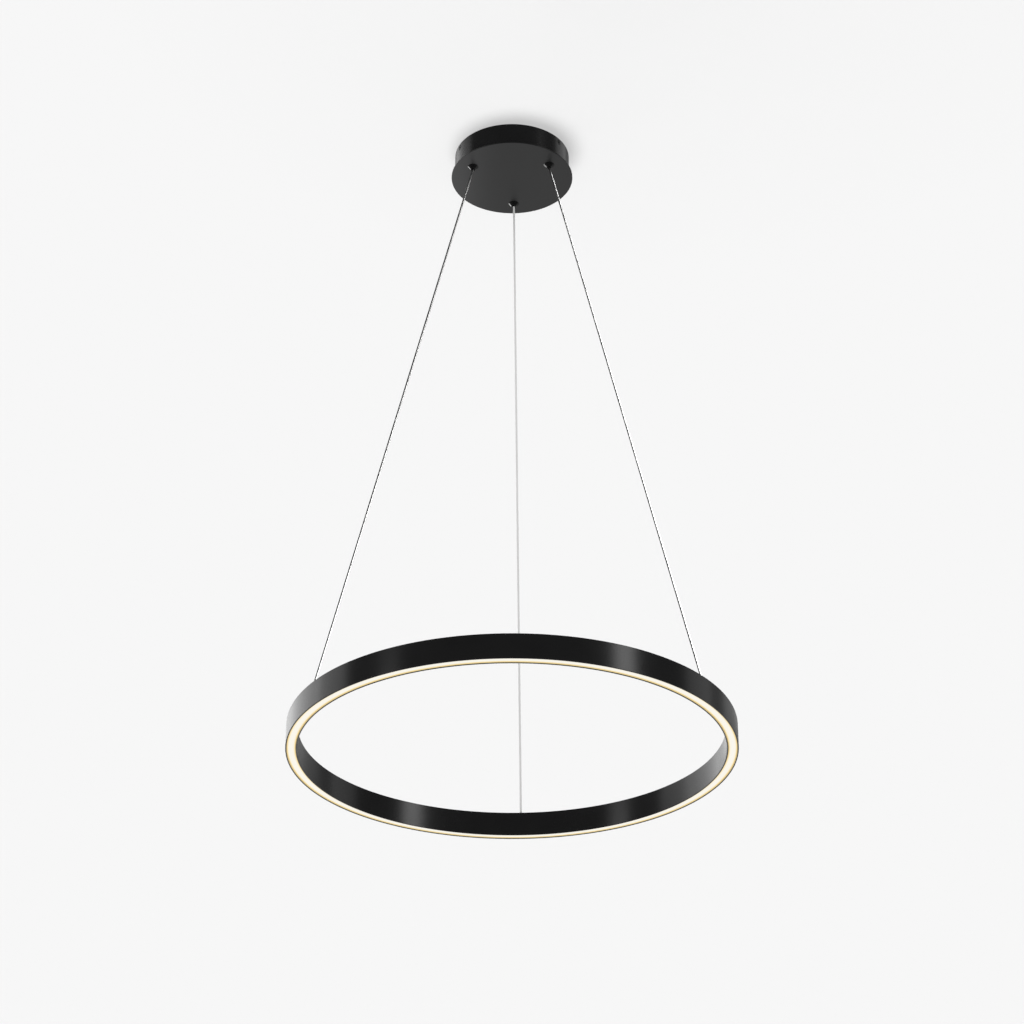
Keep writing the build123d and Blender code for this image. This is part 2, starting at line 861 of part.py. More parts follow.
def ceiling_base():
    """Pan screwed to the ceiling: slots, cable hole, rim for the side screws and studs."""
    pan = upright(base_radius, base_bottom, 0)
    pan += turned(
        [
            (rim_inner, -base_rim_height),
            (base_radius, -base_rim_height),
            (base_radius, base_bottom),
            (rim_inner, base_bottom),
        ]
    )
    for side in (-1, 1):
        slot = extrude(SlotOverall(slot_length, 2 * slot_half_width), base_thickness + 2 * through)
        pan -= Pos(side * slot_spacing / 2, 0, base_bottom - through) * slot
        stud = upright(m4_radius, base_bottom - driver_stud_length, base_bottom)
        pan += Pos(side * driver_stud_x, driver_y, 0) * stud
        stud_x = side * block_pole_pitch / 2
        pan += upright(m3_radius, base_bottom - terminal_stud_length, base_bottom, stud_x, terminal_y)
    pan += upright(m4_radius, base_bottom - earth_stud_length, base_bottom, earth_x, earth_y)
    pan -= upright(entry_hole_radius, base_bottom - through, through, 0, entry_y)
    thread_radius = m4_radius + thread_clearance
    thread = rod_along_x(thread_radius, rim_inner - through, base_radius + through, -side_screw_drop)
    for angle in side_screw_angles:
        pan -= at_angle(thread, angle)
    return pan


def cable_grommet():
    """Rubber ring in the base's cable hole, flush with the ceiling side."""
    neck = entry_hole_radius - grommet_neck_clearance
    flange_bottom = base_bottom - grommet_flange_thickness
    return Pos(0, entry_y, 0) * turned(
        [
            (grommet_bore_radius, 0),
            (neck, 0),
            (neck, base_bottom),
            (grommet_flange_radius, base_bottom),
            (grommet_flange_radius, flange_bottom),
            (grommet_bore_radius, flange_bottom),
        ]
    )


def base_nuts():
    """Nuts on the base's studs: two for the driver, two for the terminal block and one for the earth tag."""
    m4_bore = m4_radius + thread_clearance
    m3_bore = m3_radius + thread_clearance
    below_ear = base_bottom - driver_ear_thickness - m4_nut_thickness
    below_block = base_bottom - terminal_height - m3_nut_thickness
    below_tag = base_bottom - tag_thickness - m4_nut_thickness
    ear_nut = hex_nut(m4_nut_flats, m4_bore, below_ear, m4_nut_thickness)
    block_nut = hex_nut(m3_nut_flats, m3_bore, below_block, m3_nut_thickness)
    earth_nut = hex_nut(m4_nut_flats, m4_bore, below_tag, m4_nut_thickness)
    nuts = [Pos(side * driver_stud_x, driver_y, 0) * ear_nut for side in (-1, 1)]
    nuts += [Pos(side * block_pole_pitch / 2, terminal_y, 0) * block_nut for side in (-1, 1)]
    return nuts + [Pos(earth_x, earth_y, 0) * earth_nut]


def driver_case():
    """Driver housing, open below, with an ear at each end and holes for its leads."""
    half = driver_length / 2
    case = block((-half, half), (driver_south, driver_north), (driver_bottom, base_bottom))
    case -= block(
        (-half + driver_wall, half - driver_wall),
        (driver_south + driver_wall, driver_north - driver_wall),
        (driver_bottom - through, base_bottom - driver_wall),
    )
    for side in (-1, 1):
        ear = block(
            (side * half, side * (half + driver_ear_length)),
            (driver_y - driver_ear_width / 2, driver_y + driver_ear_width / 2),
            (base_bottom - driver_ear_thickness, base_bottom),
        )
        hole = upright(m4_radius + stud_hole_clearance, driver_bottom, 0, side * driver_stud_x, driver_y)
        case += ear - hole
        lead_gap = Pos(side * input_x, driver_south, -lead_drop) * Rot(90, 0, 0)
        case -= lead_gap * Cylinder(supply_lead_diameter / 2 + lead_entry_clearance, 4 * driver_wall)
    cable_gap = Pos(output_x, driver_north, -lead_drop) * Rot(90, 0, 0)
    return case - cable_gap * Cylinder(cable_radius + lead_entry_clearance, 4 * driver_wall)


def driver_lid():
    """Lid that closes the driver from below, with a lip and four posts for the board."""
    half = driver_length / 2
    lid_bottom = driver_bottom - driver_lid_thickness
    lid = block((-half, half), (driver_south, driver_north), (lid_bottom, driver_bottom))
    reach = driver_wall + driver_lip_clearance
    lip_top = driver_bottom + driver_lip_height
    outer = block(
        (-half + reach, half - reach), (driver_south + reach, driver_north - reach), (driver_bottom, lip_top)
    )
    inner_reach = reach + driver_wall
    lid += outer - block(
        (-half + inner_reach, half - inner_reach),
        (driver_south + inner_reach, driver_north - inner_reach),
        (driver_bottom, lip_top),
    )
    for x, y in board_post_places():
        lid += upright(board_post_radius, driver_bottom, board_bottom, x, y)
    return lid


def board_post_places():
    """Centres of the four posts under the board."""
    x = driver_length / 2 - driver_wall - board_post_inset
    y = driver_width / 2 - driver_wall - board_post_inset
    return [(side_x * x, driver_y + side_y * y) for side_x in (-1, 1) for side_y in (-1, 1)]


def driver_board():
    """Circuit board on the lid's posts."""
    reach = driver_wall + board_margin
    half = driver_length / 2 - reach
    return block((-half, half), (driver_south + reach, driver_north - reach), (board_bottom, board_top))


def driver_transformer():
    """Transformer: a wound core between two end cheeks."""
    half = transformer_core / 2
    width = transformer_width / 2
    cheek = width + transformer_cheek
    core_x = (transformer_x - half, transformer_x + half)
    body = block(core_x, (driver_y - width, driver_y + width), (board_top, board_top + transformer_height))
    for x in core_x:
        body += block(
            (x - transformer_cheek / 2, x + transformer_cheek / 2),
            (driver_y - cheek, driver_y + cheek),
            (board_top, board_top + transformer_height + transformer_cheek / 2),
        )
    return body


def driver_capacitors():
    """Two electrolytic capacitors standing on the board."""
    top = board_top + capacitor_height
    return [upright(capacitor_radius, board_top, top, x, driver_y + capacitor_y) for x in capacitor_xs]


def driver_choke():
    """Ring choke lying on the board."""
    y = driver_y + choke_y
    ring = upright(choke_radius, board_top, board_top + choke_height, choke_x, y)
    return ring - upright(choke_bore, board_top - through, board_top + choke_height + through, choke_x, y)


def board_terminals():
    """Lead terminals on the board: supply side and cable side."""
    half = board_terminal_width / 2
    heights = (board_top, board_top + board_terminal_height)
    supply = block((-half, half), (supply_face, supply_face + board_terminal_depth), heights)
    output_xs = (output_x - half, output_x + half)
    output = block(output_xs, (output_face - board_terminal_depth, output_face), heights)
    return [supply, output]


def pole_places():
    """Middle of each pole of the terminal block."""
    return [-block_pole_pitch, 0.0, block_pole_pitch]


def terminal_block():
    """Three-pole block with a channel for each brass clamp and two fixing holes."""
    bottom = base_bottom - terminal_height
    body = block(
        (-terminal_length / 2, terminal_length / 2),
        (terminal_y - terminal_width / 2, terminal_north),
        (bottom, base_bottom),
    )
    half = clamp_width / 2 + clamp_clearance
    tall = clamp_height / 2 + clamp_clearance
    for x in pole_places():
        ends = (terminal_y - terminal_width, terminal_y + terminal_width)
        body -= block((x - half, x + half), ends, (clamp_z - tall, clamp_z + tall))
        for side in (-1, 1):
            y = terminal_y + side * clamp_length / 4
            body -= upright(m3_radius + screw_access_clearance, bottom - through, clamp_z, x, y)
    for side in (-1, 1):
        hole_radius = m3_radius + terminal_hole_clearance
        body -= upright(hole_radius, bottom - through, 0, side * block_pole_pitch / 2, terminal_y)
    return body


def terminal_clamps():
    """Brass tubes that hold the supply leads."""
    clamps = []
    for x in pole_places():
        tube = block(
            (x - clamp_width / 2, x + clamp_width / 2),
            (terminal_y - clamp_length / 2, clamp_north),
            (clamp_z - clamp_height / 2, clamp_z + clamp_height / 2),
        )
        bore = Cylinder(clamp_bore_radius, clamp_length + through)
        tube -= Pos(x, terminal_y, clamp_z) * Rot(90, 0, 0) * bore
        for side in (-1, 1):
            y = terminal_y + side * clamp_length / 4
            tube -= upright(m3_radius, clamp_z - clamp_height, clamp_z, x, y)
        clamps.append(tube)
    return clamps


def terminal_screws():
    """Clamp screws, driven from below."""
    bottom = base_bottom - terminal_height + screw_recess
    tip = clamp_z - clamp_bore_radius + screw_bite
    screws = []
    for x in pole_places():
        for side in (-1, 1):
            y = terminal_y + side * clamp_length / 4
            screw = upright(m3_radius - thread_clearance, bottom, tip, x, y)
            slit_y = (y - slit_half_width, y + slit_half_width)
            slit = block((x - m4_radius, x + m4_radius), slit_y, (bottom, bottom + socket_depth))
            screws.append(screw - slit)
    return screws


def supply_lead(pole_x, driver_x, sag, spread):
    """Lead from a pole of the terminal block to the driver's supply terminal."""
    length = supply_face - clamp_north
    points = [
        (pole_x, clamp_north, clamp_z),
        (pole_x + spread, clamp_north + 0.3 * length, clamp_z - sag),
        (driver_x, clamp_north + 0.6 * length, -lead_drop),
        (driver_x, supply_face, -lead_drop),
    ]
    return round_path(points, supply_lead_diameter)


def earth_lead():
    """Lead from the earth pole to the ring tag on the base's stud."""
    start_y = terminal_y - clamp_length / 2
    tag_end = earth_x - tag_radius - tag_tongue
    across = tag_end - block_pole_pitch
    lead_z = base_bottom - tag_thickness - supply_lead_diameter / 2
    points = [
        (block_pole_pitch, start_y, clamp_z),
        (block_pole_pitch + 1, start_y - 0.4 * across, clamp_z + 1),
        (block_pole_pitch + 0.55 * across, start_y - 0.4 * across, lead_z),
        (tag_end, earth_y, lead_z),
        (tag_end + tag_tongue / 2, earth_y, lead_z),
    ]
    return round_path(points, supply_lead_diameter)


def earth_tag():
    """Ring tag crimped on the earth lead, clamped under its nut."""
    bottom = base_bottom - tag_thickness
    tongue_y = (earth_y - tag_tongue_half_width, earth_y + tag_tongue_half_width)
    tag = upright(tag_radius, bottom, base_bottom, earth_x, earth_y)
    tag += block((earth_x - tag_radius - tag_tongue, earth_x), tongue_y, (bottom, base_bottom))
    return tag - upright(m4_radius + thread_clearance, bottom - through, 0, earth_x, earth_y)


# ---------------------------------------------------------------- write every node
os.makedirs("parts", exist_ok=True)

save("ring_channel", ring_channel())
save("diffuser", diffuser())
save("led_carrier", led_carrier())
save("led_tape", led_tape())
save("led_chips", *led_chips())
save("anchor_block_left", at_angle(wire_anchor(), left_angle))
save("anchor_block_right", at_angle(wire_anchor(), right_angle))
save("anchor_block_cable", at_angle(cable_anchor(), cable_angle))
save("wire_ball_left", at_angle(ball_end(), left_angle))
save("wire_ball_right", at_angle(ball_end(), right_angle))
save("spacer_posts", *[at_angle(spacer_post(), angle, ring_mid_radius) for angle in post_angles])
save("ring_top_screws", *ring_screws(ring_top, top_screw_length, -1, top_screw_places()))
save("carrier_screws", *ring_screws(carrier_bottom, carrier_screw_length, 1, carrier_screw_places()))
save("cable_clamp_screw", clamp_screw())
save("ring_cable_tail", ring_cable_tail())
save("ring_connector", ring_connector())
save("ring_leads", *ring_leads())

for side, angle in (("left", left_angle), ("right", right_angle)):
    save(f"gripper_body_{side}", at_angle(wire_gripper_body(), angle, gripper_radius))
    save(f"gripper_plunger_{side}", at_angle(plunger(), angle, gripper_radius))
    save(f"gripper_balls_{side}", *[at_angle(ball, angle, gripper_radius) for ball in grip_balls()])
    save(f"gripper_spring_{side}", at_angle(gripper_spring(), angle, gripper_radius))
    cap = gripper_cap(wire_radius + cap_bore_clearance, gripper_barrel_height, gripper_cavity_radius)
    save(f"gripper_cap_{side}", at_angle(cap, angle, gripper_radius))
    save(f"suspension_wire_{side}", hanging_run(angle, wire_diameter, ball_end_radius + wire_end_gap))

left_onward = [(-30.0, -22.0, -6.0), (-17.0, -25.0, -9.0)]
right_onward = [(30.0, -24.0, -6.0), (16.0, -19.0, -8.0)]
save("wire_tail_left", inner_tail(left_angle, wire_diameter, wire_tail_rise, left_onward))
save("wire_tail_right", inner_tail(right_angle, wire_diameter, wire_tail_rise, right_onward))
save("gripper_nuts", *gripper_nuts())
save("cord_grip_body", at_angle(cord_grip_body(), cable_angle, gripper_radius))
save("cord_grip_sleeve", at_angle(cord_grip_sleeve(), cable_angle, gripper_radius))
cord_cap = gripper_cap(cable_radius + cap_bore_clearance, cord_grip_barrel_height, gripper_cavity_radius)
save("cord_grip_cap", at_angle(cord_cap, cable_angle, gripper_radius))
save("power_cable", hanging_run(cable_angle, cable_diameter, wire_end_gap))
cable_onward = [(output_x, 60.0, -lead_drop), (output_x, output_face, -lead_drop)]
save("power_cable_tail", inner_tail(cable_angle, cable_diameter, cable_tail_rise, cable_onward))

save("canopy_plate", canopy_plate())
save("canopy_drum", canopy_drum())
save("plate_nuts", *plate_nuts())
save("side_screws", *side_screws())
save("rim_nuts", *rim_nuts())
save("ceiling_base", ceiling_base())
save("cable_grommet", cable_grommet())
save("base_nuts", *base_nuts())
save("driver_case", driver_case())
save("driver_lid", driver_lid())
save("driver_board", driver_board())
save("driver_transformer", driver_transformer())
save("driver_capacitors", *driver_capacitors())
save("driver_choke", driver_choke())
save("board_terminals", *board_terminals())
save("terminal_block", terminal_block())
save("terminal_clamps", *terminal_clamps())
save("terminal_screws", *terminal_screws())
save("live_lead", supply_lead(-block_pole_pitch, -input_x, sag=3.0, spread=1.0))
save("neutral_lead", supply_lead(0.0, input_x, sag=4.0, spread=1.0))
save("earth_lead", earth_lead())
save("earth_tag", earth_tag())
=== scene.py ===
"""Ring chandelier in its studio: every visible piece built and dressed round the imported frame.

Metres, +Z up. The origin is the centre of the canopy's top face, which lies against the ceiling.
"""

import json
import logging
from collections.abc import Iterable, Sequence
from dataclasses import dataclass, field
from enum import Enum
from math import cos, hypot, pi, radians, sin, tan, tau

import bmesh
import bpy
from mathutils import Matrix, Vector


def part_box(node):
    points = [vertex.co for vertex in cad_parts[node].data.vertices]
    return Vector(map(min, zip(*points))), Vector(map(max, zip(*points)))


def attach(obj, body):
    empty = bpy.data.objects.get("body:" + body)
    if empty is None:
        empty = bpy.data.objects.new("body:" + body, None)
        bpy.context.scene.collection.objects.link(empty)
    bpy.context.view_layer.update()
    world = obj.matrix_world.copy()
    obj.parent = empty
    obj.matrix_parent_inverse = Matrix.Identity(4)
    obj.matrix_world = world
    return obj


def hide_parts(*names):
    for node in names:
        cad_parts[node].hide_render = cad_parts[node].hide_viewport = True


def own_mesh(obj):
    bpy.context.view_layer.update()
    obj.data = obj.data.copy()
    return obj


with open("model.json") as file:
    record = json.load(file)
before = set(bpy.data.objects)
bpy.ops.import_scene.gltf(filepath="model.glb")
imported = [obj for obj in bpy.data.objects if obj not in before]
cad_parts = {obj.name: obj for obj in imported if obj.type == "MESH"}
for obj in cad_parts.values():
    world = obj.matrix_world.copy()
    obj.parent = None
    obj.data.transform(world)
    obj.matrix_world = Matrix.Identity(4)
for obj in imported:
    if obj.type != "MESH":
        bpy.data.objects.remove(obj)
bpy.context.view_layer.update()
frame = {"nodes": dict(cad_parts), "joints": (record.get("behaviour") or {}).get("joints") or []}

log = logging.getLogger("ring_chandelier")
Colour = tuple[float, float, float]
Outline = Sequence[tuple[float, float]]
Sockets = dict[str, "Signal | float | Colour"]
STRIP_MIDDLE = 0.29225  # radius of the opal strip's centre line
POST_AFTER = 60.0  # degrees from a suspension point to the post after it
PAST = 0.001  # how far a cutting tool reaches past a face


# ---------------------------------------------------------------- shader graphs
class Signal:
    """An output socket that does arithmetic: each operator adds its Math node."""

    def __init__(self, graph: "Graph", socket: bpy.types.NodeSocket) -> None:
        """Keeps the graph and the socket."""
        self.graph = graph
        self.socket = socket

    def maths(self, operation: str, *values: "Signal | float") -> "Signal":
        """Output of one Math node with these inputs, in order."""
        return self.graph.add("ShaderNodeMath", {"operation": operation}, dict(enumerate(values)))

    def __add__(self, other: "Signal | float") -> "Signal":
        """Sum."""
        return self.maths("ADD", self, other)

    def __radd__(self, other: float) -> "Signal":
        """Sum with a number on the left."""
        return self.maths("ADD", other, self)

    def __sub__(self, other: "Signal | float") -> "Signal":
        """Difference."""
        return self.maths("SUBTRACT", self, other)

    def __rsub__(self, other: float) -> "Signal":
        """Difference from a number on the left."""
        return self.maths("SUBTRACT", other, self)

    def __mul__(self, other: "Signal | float") -> "Signal":
        """Product."""
        return self.maths("MULTIPLY", self, other)

    def __rmul__(self, other: float) -> "Signal":
        """Product with a number on the left."""
        return self.maths("MULTIPLY", other, self)

    def __gt__(self, other: "Signal | float") -> "Signal":
        """1 where this is larger, else 0."""
        return self.maths("GREATER_THAN", self, other)

    def __abs__(self) -> "Signal":
        """Size without its sign."""
        return self.maths("ABSOLUTE", self)

    def sine(self) -> "Signal":
        """Sine of this angle."""
        return self.maths("SINE", self)

    def step(self, start: float, end: float) -> "Signal":
        """Smooth rise from 0 at start to 1 at end.

        Args:
            start: value that gives 0.
            end: value that gives 1.

        Returns:
            The eased value.
        """
        settings = {"interpolation_type": "SMOOTHSTEP"}
        rising = start < end
        limits = {1: min(start, end), 2: max(start, end), 3: float(not rising), 4: float(rising)}
        return self.graph.add("ShaderNodeMapRange", settings, {0: self, **limits})


class Graph:
    """The node tree of one material or world."""

    def __init__(self, owner: bpy.types.Material | bpy.types.World) -> None:
        """Starts an empty tree on its owner."""
        owner.use_nodes = True
        self.tree = owner.node_tree
        self.tree.nodes.clear()

    def add(
        self,
        kind: str,
        settings: dict | None = None,
        inputs: dict | None = None,
        output: int | str = 0,
    ) -> Signal:
        """Adds one node.

        Args:
            kind: the node's type.
            settings: its properties, set first; "stops" gives a ramp's (position, colour) stops.
            inputs: a number, colour or Signal for each socket, by name or index.
            output: the output that is returned.

        Returns:
            That output.
        """
        node = self.tree.nodes.new(kind)
        for name, value in (settings or {}).items():
            if name == "stops":
                self._set_stops(node.color_ramp, value)
            else:
                setattr(node, name, value)
        for key, value in (inputs or {}).items():
            if isinstance(value, Signal):
                self.tree.links.new(value.socket, node.inputs[key])
            elif isinstance(value, tuple) and len(value) == 3 and node.inputs[key].type == "RGBA":
                node.inputs[key].default_value = (*value, 1.0)
            else:
                node.inputs[key].default_value = value
        return Signal(self, node.outputs[output] if len(node.outputs) else None)

    @staticmethod
    def _set_stops(ramp: bpy.types.ColorRamp, stops: Sequence[tuple[float, Colour]]) -> None:
        """Gives a ramp its stops.

        Args:
            ramp: the node's colour ramp.
            stops: position and colour of each stop, in order.
        """
        while len(ramp.elements) < len(stops):
            ramp.elements.new(1.0)
        for element, (position, colour) in zip(ramp.elements, stops):
            element.position = position
            element.color = (*colour, 1.0)

    def place(self) -> Signal:
        """The point's place in the piece's own coordinates, in metres."""
        return self.add("ShaderNodeTexCoord", output="Object")

    def parts(self, vector: Signal) -> tuple[Signal, Signal, Signal]:
        """X, Y and Z of a vector."""
        split = self.add("ShaderNodeSeparateXYZ", inputs={0: vector})
        return tuple(Signal(self, socket) for socket in split.socket.node.outputs)

    def stretched(self, vector: Signal, scale: Colour) -> Signal:
        """A vector with each axis scaled."""
        return self.add("ShaderNodeMapping", inputs={"Vector": vector, "Scale": scale})

    def from_axis(self, vector: Signal) -> Signal:
        """Distance of a point from the Z axis."""
        flat = self.stretched(vector, (1.0, 1.0, 0.0))
        return self.add("ShaderNodeVectorMath", {"operation": "LENGTH"}, {0: flat}, output="Value")

    def noise(self, vector: Signal, size: float, detail: float = 2.0, rough: float = 0.5) -> Signal:
        """Noise from 0 to 1, with its largest grains size metres wide and octaves of finer ones."""
        inputs = {"Vector": vector, "Scale": 1 / size, "Detail": detail, "Roughness": rough}
        return self.add("ShaderNodeTexNoise", inputs=inputs)

    def tint(self, share: "Signal | float", low: "Signal | Colour", high: "Signal | Colour") -> Signal:
        """Colour between two others."""
        return self.add("ShaderNodeMix", {"data_type": "RGBA"}, {0: share, 6: low, 7: high}, output=2)

    def bump(self, height: Signal, depth: float, under: Signal | None = None) -> Signal:
        """Normal for a relief.

        Args:
            height: relief from 0 to 1.
            depth: its depth in metres.
            under: a coarser relief that it adds to.

        Returns:
            The bumped normal.
        """
        inputs = {"Height": height, "Distance": depth, "Strength": 1.0}
        if under is not None:
            inputs["Normal"] = under
        return self.add("ShaderNodeBump", inputs=inputs)


# ---------------------------------------------------------------- finishes
def scaled(colour: Colour, factor: float) -> Colour:
    """A colour made lighter or darker."""
    return tuple(min(1.0, channel * factor) for channel in colour)


@dataclass(frozen=True)
class Finish:
    """A surface finish, made once and shared by the pieces that have it."""

    name: str
    colour: Colour
    roughness: float

    def sockets(self, graph: Graph) -> Sockets:
        """A value or Signal for each socket of the shader that differs from its default."""
        return {"Base Color": self.colour, "Roughness": self.roughness}

    def shade(self, graph: Graph, share: Signal, low: float, high: float) -> Signal:
        """The finish's colour, scaled by a factor between low and high."""
        return graph.tint(share, scaled(self.colour, low), scaled(self.colour, high))

    def material(self) -> bpy.types.Material:
        """The Blender material, built the first time."""
        made = bpy.data.materials.get(self.name)
        if made is None:
            made = bpy.data.materials.new(self.name)
            graph = Graph(made)
            shader = graph.add("ShaderNodeBsdfPrincipled", inputs=self.sockets(graph))
            graph.add("ShaderNodeOutputMaterial", inputs={"Surface": shader})
        return made

    def dress(self, piece: bpy.types.Object) -> None:
        """Gives the whole piece this finish."""
        piece.data.materials.clear()
        piece.data.materials.append(self.material())


@dataclass(frozen=True)
class PowderCoat(Finish):
    """Baked powder coat: fine orange peel, slow changes of gloss and a trace of dust, with an optional
    painted highlight that lightens the colour towards -X.
    """

    specular: float = 0.5
    peel_size: float = 0.0011
    peel_depth: float = 0.0000015
    sheen: Colour | None = None

    def sockets(self, graph: Graph) -> Sockets:
        """Values of the coat's sockets."""
        place = graph.place()
        cloud = graph.noise(place, 0.04, 3.0)
        grain = graph.noise(place, 0.00035, 1.0)
        peel = graph.noise(place, self.peel_size, 2.0)
        colour = self.shade(graph, cloud, 0.82, 1.18)
        # painted highlight: the base colour turns lighter towards -X, standing in for the light that falls on
        # that side
        if self.sheen is not None:
            side = graph.parts(place)[0].step(0.01, -0.1)
            colour = graph.tint(side * side, colour, self.sheen)
        dust = (grain * cloud).step(0.42, 0.6)
        return {
            "Base Color": graph.tint(dust * 0.3, colour, scaled(self.colour, 2.2)),
            "Roughness": self.roughness * (0.93 + 0.14 * cloud),
            "Specular IOR Level": self.specular,
            "Normal": graph.bump(peel, self.peel_depth),
        }


@dataclass(frozen=True)
class LitCoat(PowderCoat):
    """The coat of the ring, with the strip's light painted on the two walls beside it as golden emission."""

    middle: float = STRIP_MIDDLE
    half_gap: float = 0.0062
    lip: float = -0.97
    face: float = -0.9685
    spill: Colour = (0.95, 0.76, 0.38)

    def sockets(self, graph: Graph) -> Sockets:
        """Values of the coat's sockets, with the strip's light painted on the walls."""
        place = graph.place()
        between = abs(graph.from_axis(place) - self.middle).step(self.half_gap + 0.0003, self.half_gap)
        height = graph.parts(place)[2]
        near = height.step(self.lip, self.face) * height.step(self.face + 0.0004, self.face + 0.0002)
        # painted light: golden emission on the walls next to the strip, standing in for the strip's light on
        # them
        lit = graph.tint(between * near * near * near, (0.0, 0.0, 0.0), self.spill)
        return {**super().sockets(graph), "Emission Color": lit, "Emission Strength": 1.0}


@dataclass(frozen=True)
class OpalStrip(Finish):
    """Lit opal plastic: near white in the middle, golden where it meets the channel, and dark at its very
    edge, partly where its legs block the light and partly as painted shade of the channel's lip.
    """

    middle: float
    half_width: float
    glow: Sequence[tuple[float, Colour]]

    def sockets(self, graph: Graph) -> Sockets:
        """Values of the strip's sockets."""
        place = graph.place()
        across = abs(graph.from_axis(place) - self.middle) * (1 / self.half_width)
        frost = graph.noise(place, 0.0006, 2.0)
        haze = graph.noise(place, 0.02, 2.0)
        lit = graph.add("ShaderNodeValToRGB", {"stops": self.glow}, {0: across + (haze - 0.5) * 0.04})
        return {
            "Base Color": graph.tint(across.step(0.6, 1.0), self.colour, scaled(self.colour, 0.6)),
            "Roughness": self.roughness * (0.9 + 0.2 * frost),
            "Emission Color": lit,
            "Emission Strength": 1.0,
            "Normal": graph.bump(frost, 0.000004),
        }


@dataclass(frozen=True)
class Metal(Finish):
    """Bare or plated metal, with drawn or rolled lines along one axis and faint stains."""

    line_stretch: Colour = (1.0, 1.0, 1.0)
    line_size: float = 0.0004
    line_depth: float = 0.000002
    stain: float = 0.75

    def sockets(self, graph: Graph) -> Sockets:
        """Values of the metal's sockets."""
        place = graph.place()
        lines = graph.noise(graph.stretched(place, self.line_stretch), self.line_size, 2.0)
        stains = graph.noise(place, 0.006, 4.0, 0.6)
        worn = self.shade(graph, stains, self.stain, 1.1)
        return {
            "Base Color": graph.tint(lines * 0.35, worn, scaled(self.colour, 0.7)),
            "Metallic": 1.0,
            "Roughness": self.roughness * (0.75 + 0.3 * lines + 0.25 * stains),
            "Normal": graph.bump(lines, self.line_depth),
        }


@dataclass(frozen=True)
class LaidWire(Finish):
    """Steel rope of fine strands laid in a helix round the wire."""

    strands: int = 12
    lay_length: float = 0.02
    groove: float = 0.000001

    def sockets(self, graph: Graph) -> Sockets:
        """Values of the rope's sockets."""
        place = graph.place()
        around = graph.parts(graph.add("ShaderNodeUVMap"))[1]
        height = graph.parts(place)[2]
        turns = height * (1 / self.lay_length) + around
        wave = (turns * (tau * self.strands)).sine() * 0.5 + 0.5
        wear = graph.noise(place, 0.01, 3.0)
        steel = self.shade(graph, wear, 0.94, 1.06)
        return {
            "Base Color": graph.tint(wave, scaled(self.colour, 0.9), steel),
            "Metallic": 1.0,
            "Roughness": self.roughness + 0.05 * wear,
            "Normal": graph.bump(wave, self.groove),
        }


@dataclass(frozen=True)
class Galvanised(Finish):
    """Zinc plate with its crystals, which differ a little in brightness and gloss."""

    crystal: float = 0.0016

    def sockets(self, graph: Graph) -> Sockets:
        """Values of the zinc's sockets."""
        place = graph.place()
        inputs = {"Vector": place, "Scale": 1 / self.crystal}
        cell = graph.add("ShaderNodeTexVoronoi", inputs=inputs, output="Color")
        shade = graph.parts(cell)[0]
        stains = graph.noise(place, 0.012, 4.0, 0.6)
        bright = self.shade(graph, shade, 0.8, 1.12)
        return {
            "Base Color": graph.tint(stains.step(0.5, 0.75) * 0.5, bright, scaled(self.colour, 0.62)),
            "Metallic": 1.0,
            "Roughness": self.roughness + 0.14 * shade + 0.1 * (stains - 0.5),
            "Normal": graph.bump(stains, 0.00001),
        }


@dataclass(frozen=True)
class Moulded(Finish):
    """Moulded plastic or rubber: spark-eroded texture, slight sinks and colour drift."""

    texture: float = 0.0003
    depth: float = 0.000008

    def sockets(self, graph: Graph) -> Sockets:
        """Values of the plastic's sockets."""
        place = graph.place()
        fine = graph.noise(place, self.texture, 3.0)
        drift = graph.noise(place, 0.015, 2.0)
        sinks = graph.bump(drift, 0.00005)
        return {
            "Base Color": self.shade(graph, drift, 0.9, 1.08),
            "Roughness": self.roughness * (0.85 + 0.3 * fine),
            "Normal": graph.bump(fine, self.depth, sinks),
        }


@dataclass(frozen=True)
class Sheath(Finish):
    """Extruded cable or lead sheath: draw lines along it and a faint bloom."""

    stripe: Colour | None = None

    def sockets(self, graph: Graph) -> Sockets:
        """Values of the sheath's sockets."""
        place = graph.place()
        bloom = graph.noise(place, 0.012, 3.0)
        drawn = graph.noise(graph.stretched(place, (1.0, 1.0, 0.08)), 0.0005, 2.0)
        colour = self.shade(graph, bloom, 0.94, 1.04)
        if self.stripe is not None:
            around = graph.parts(graph.add("ShaderNodeUVMap"))[1]
            colour = graph.tint(abs(around - 0.5) > 0.3, colour, self.stripe)
        return {
            "Base Color": colour,
            "Roughness": self.roughness * (0.85 + 0.3 * bloom),
            "Normal": graph.bump(drawn, 0.000006),
        }


@dataclass(frozen=True)
class CircuitBoard(Finish):
    """Solder mask over copper tracks."""

    copper: Colour = (0.05, 0.2, 0.05)
    track_pitch: float = 0.0035

    def sockets(self, graph: Graph) -> Sockets:
        """Values of the board's sockets."""
        place = graph.place()
        inputs = {"Vector": place, "Scale": 1 / self.track_pitch, "Randomness": 0.7}
        settings = {"feature": "F1", "distance": "CHEBYCHEV"}
        cells = graph.add("ShaderNodeTexVoronoi", settings, inputs, output="Distance")
        tracks = (abs(cells - 0.45)).step(0.16, 0.1)
        mottle = graph.noise(place, 0.004, 3.0)
        mask = self.shade(graph, mottle, 0.85, 1.15)
        return {
            "Base Color": graph.tint(tracks, mask, self.copper),
            "Roughness": self.roughness + 0.15 * mottle,
            "Normal": graph.bump(tracks, 0.00003),
        }


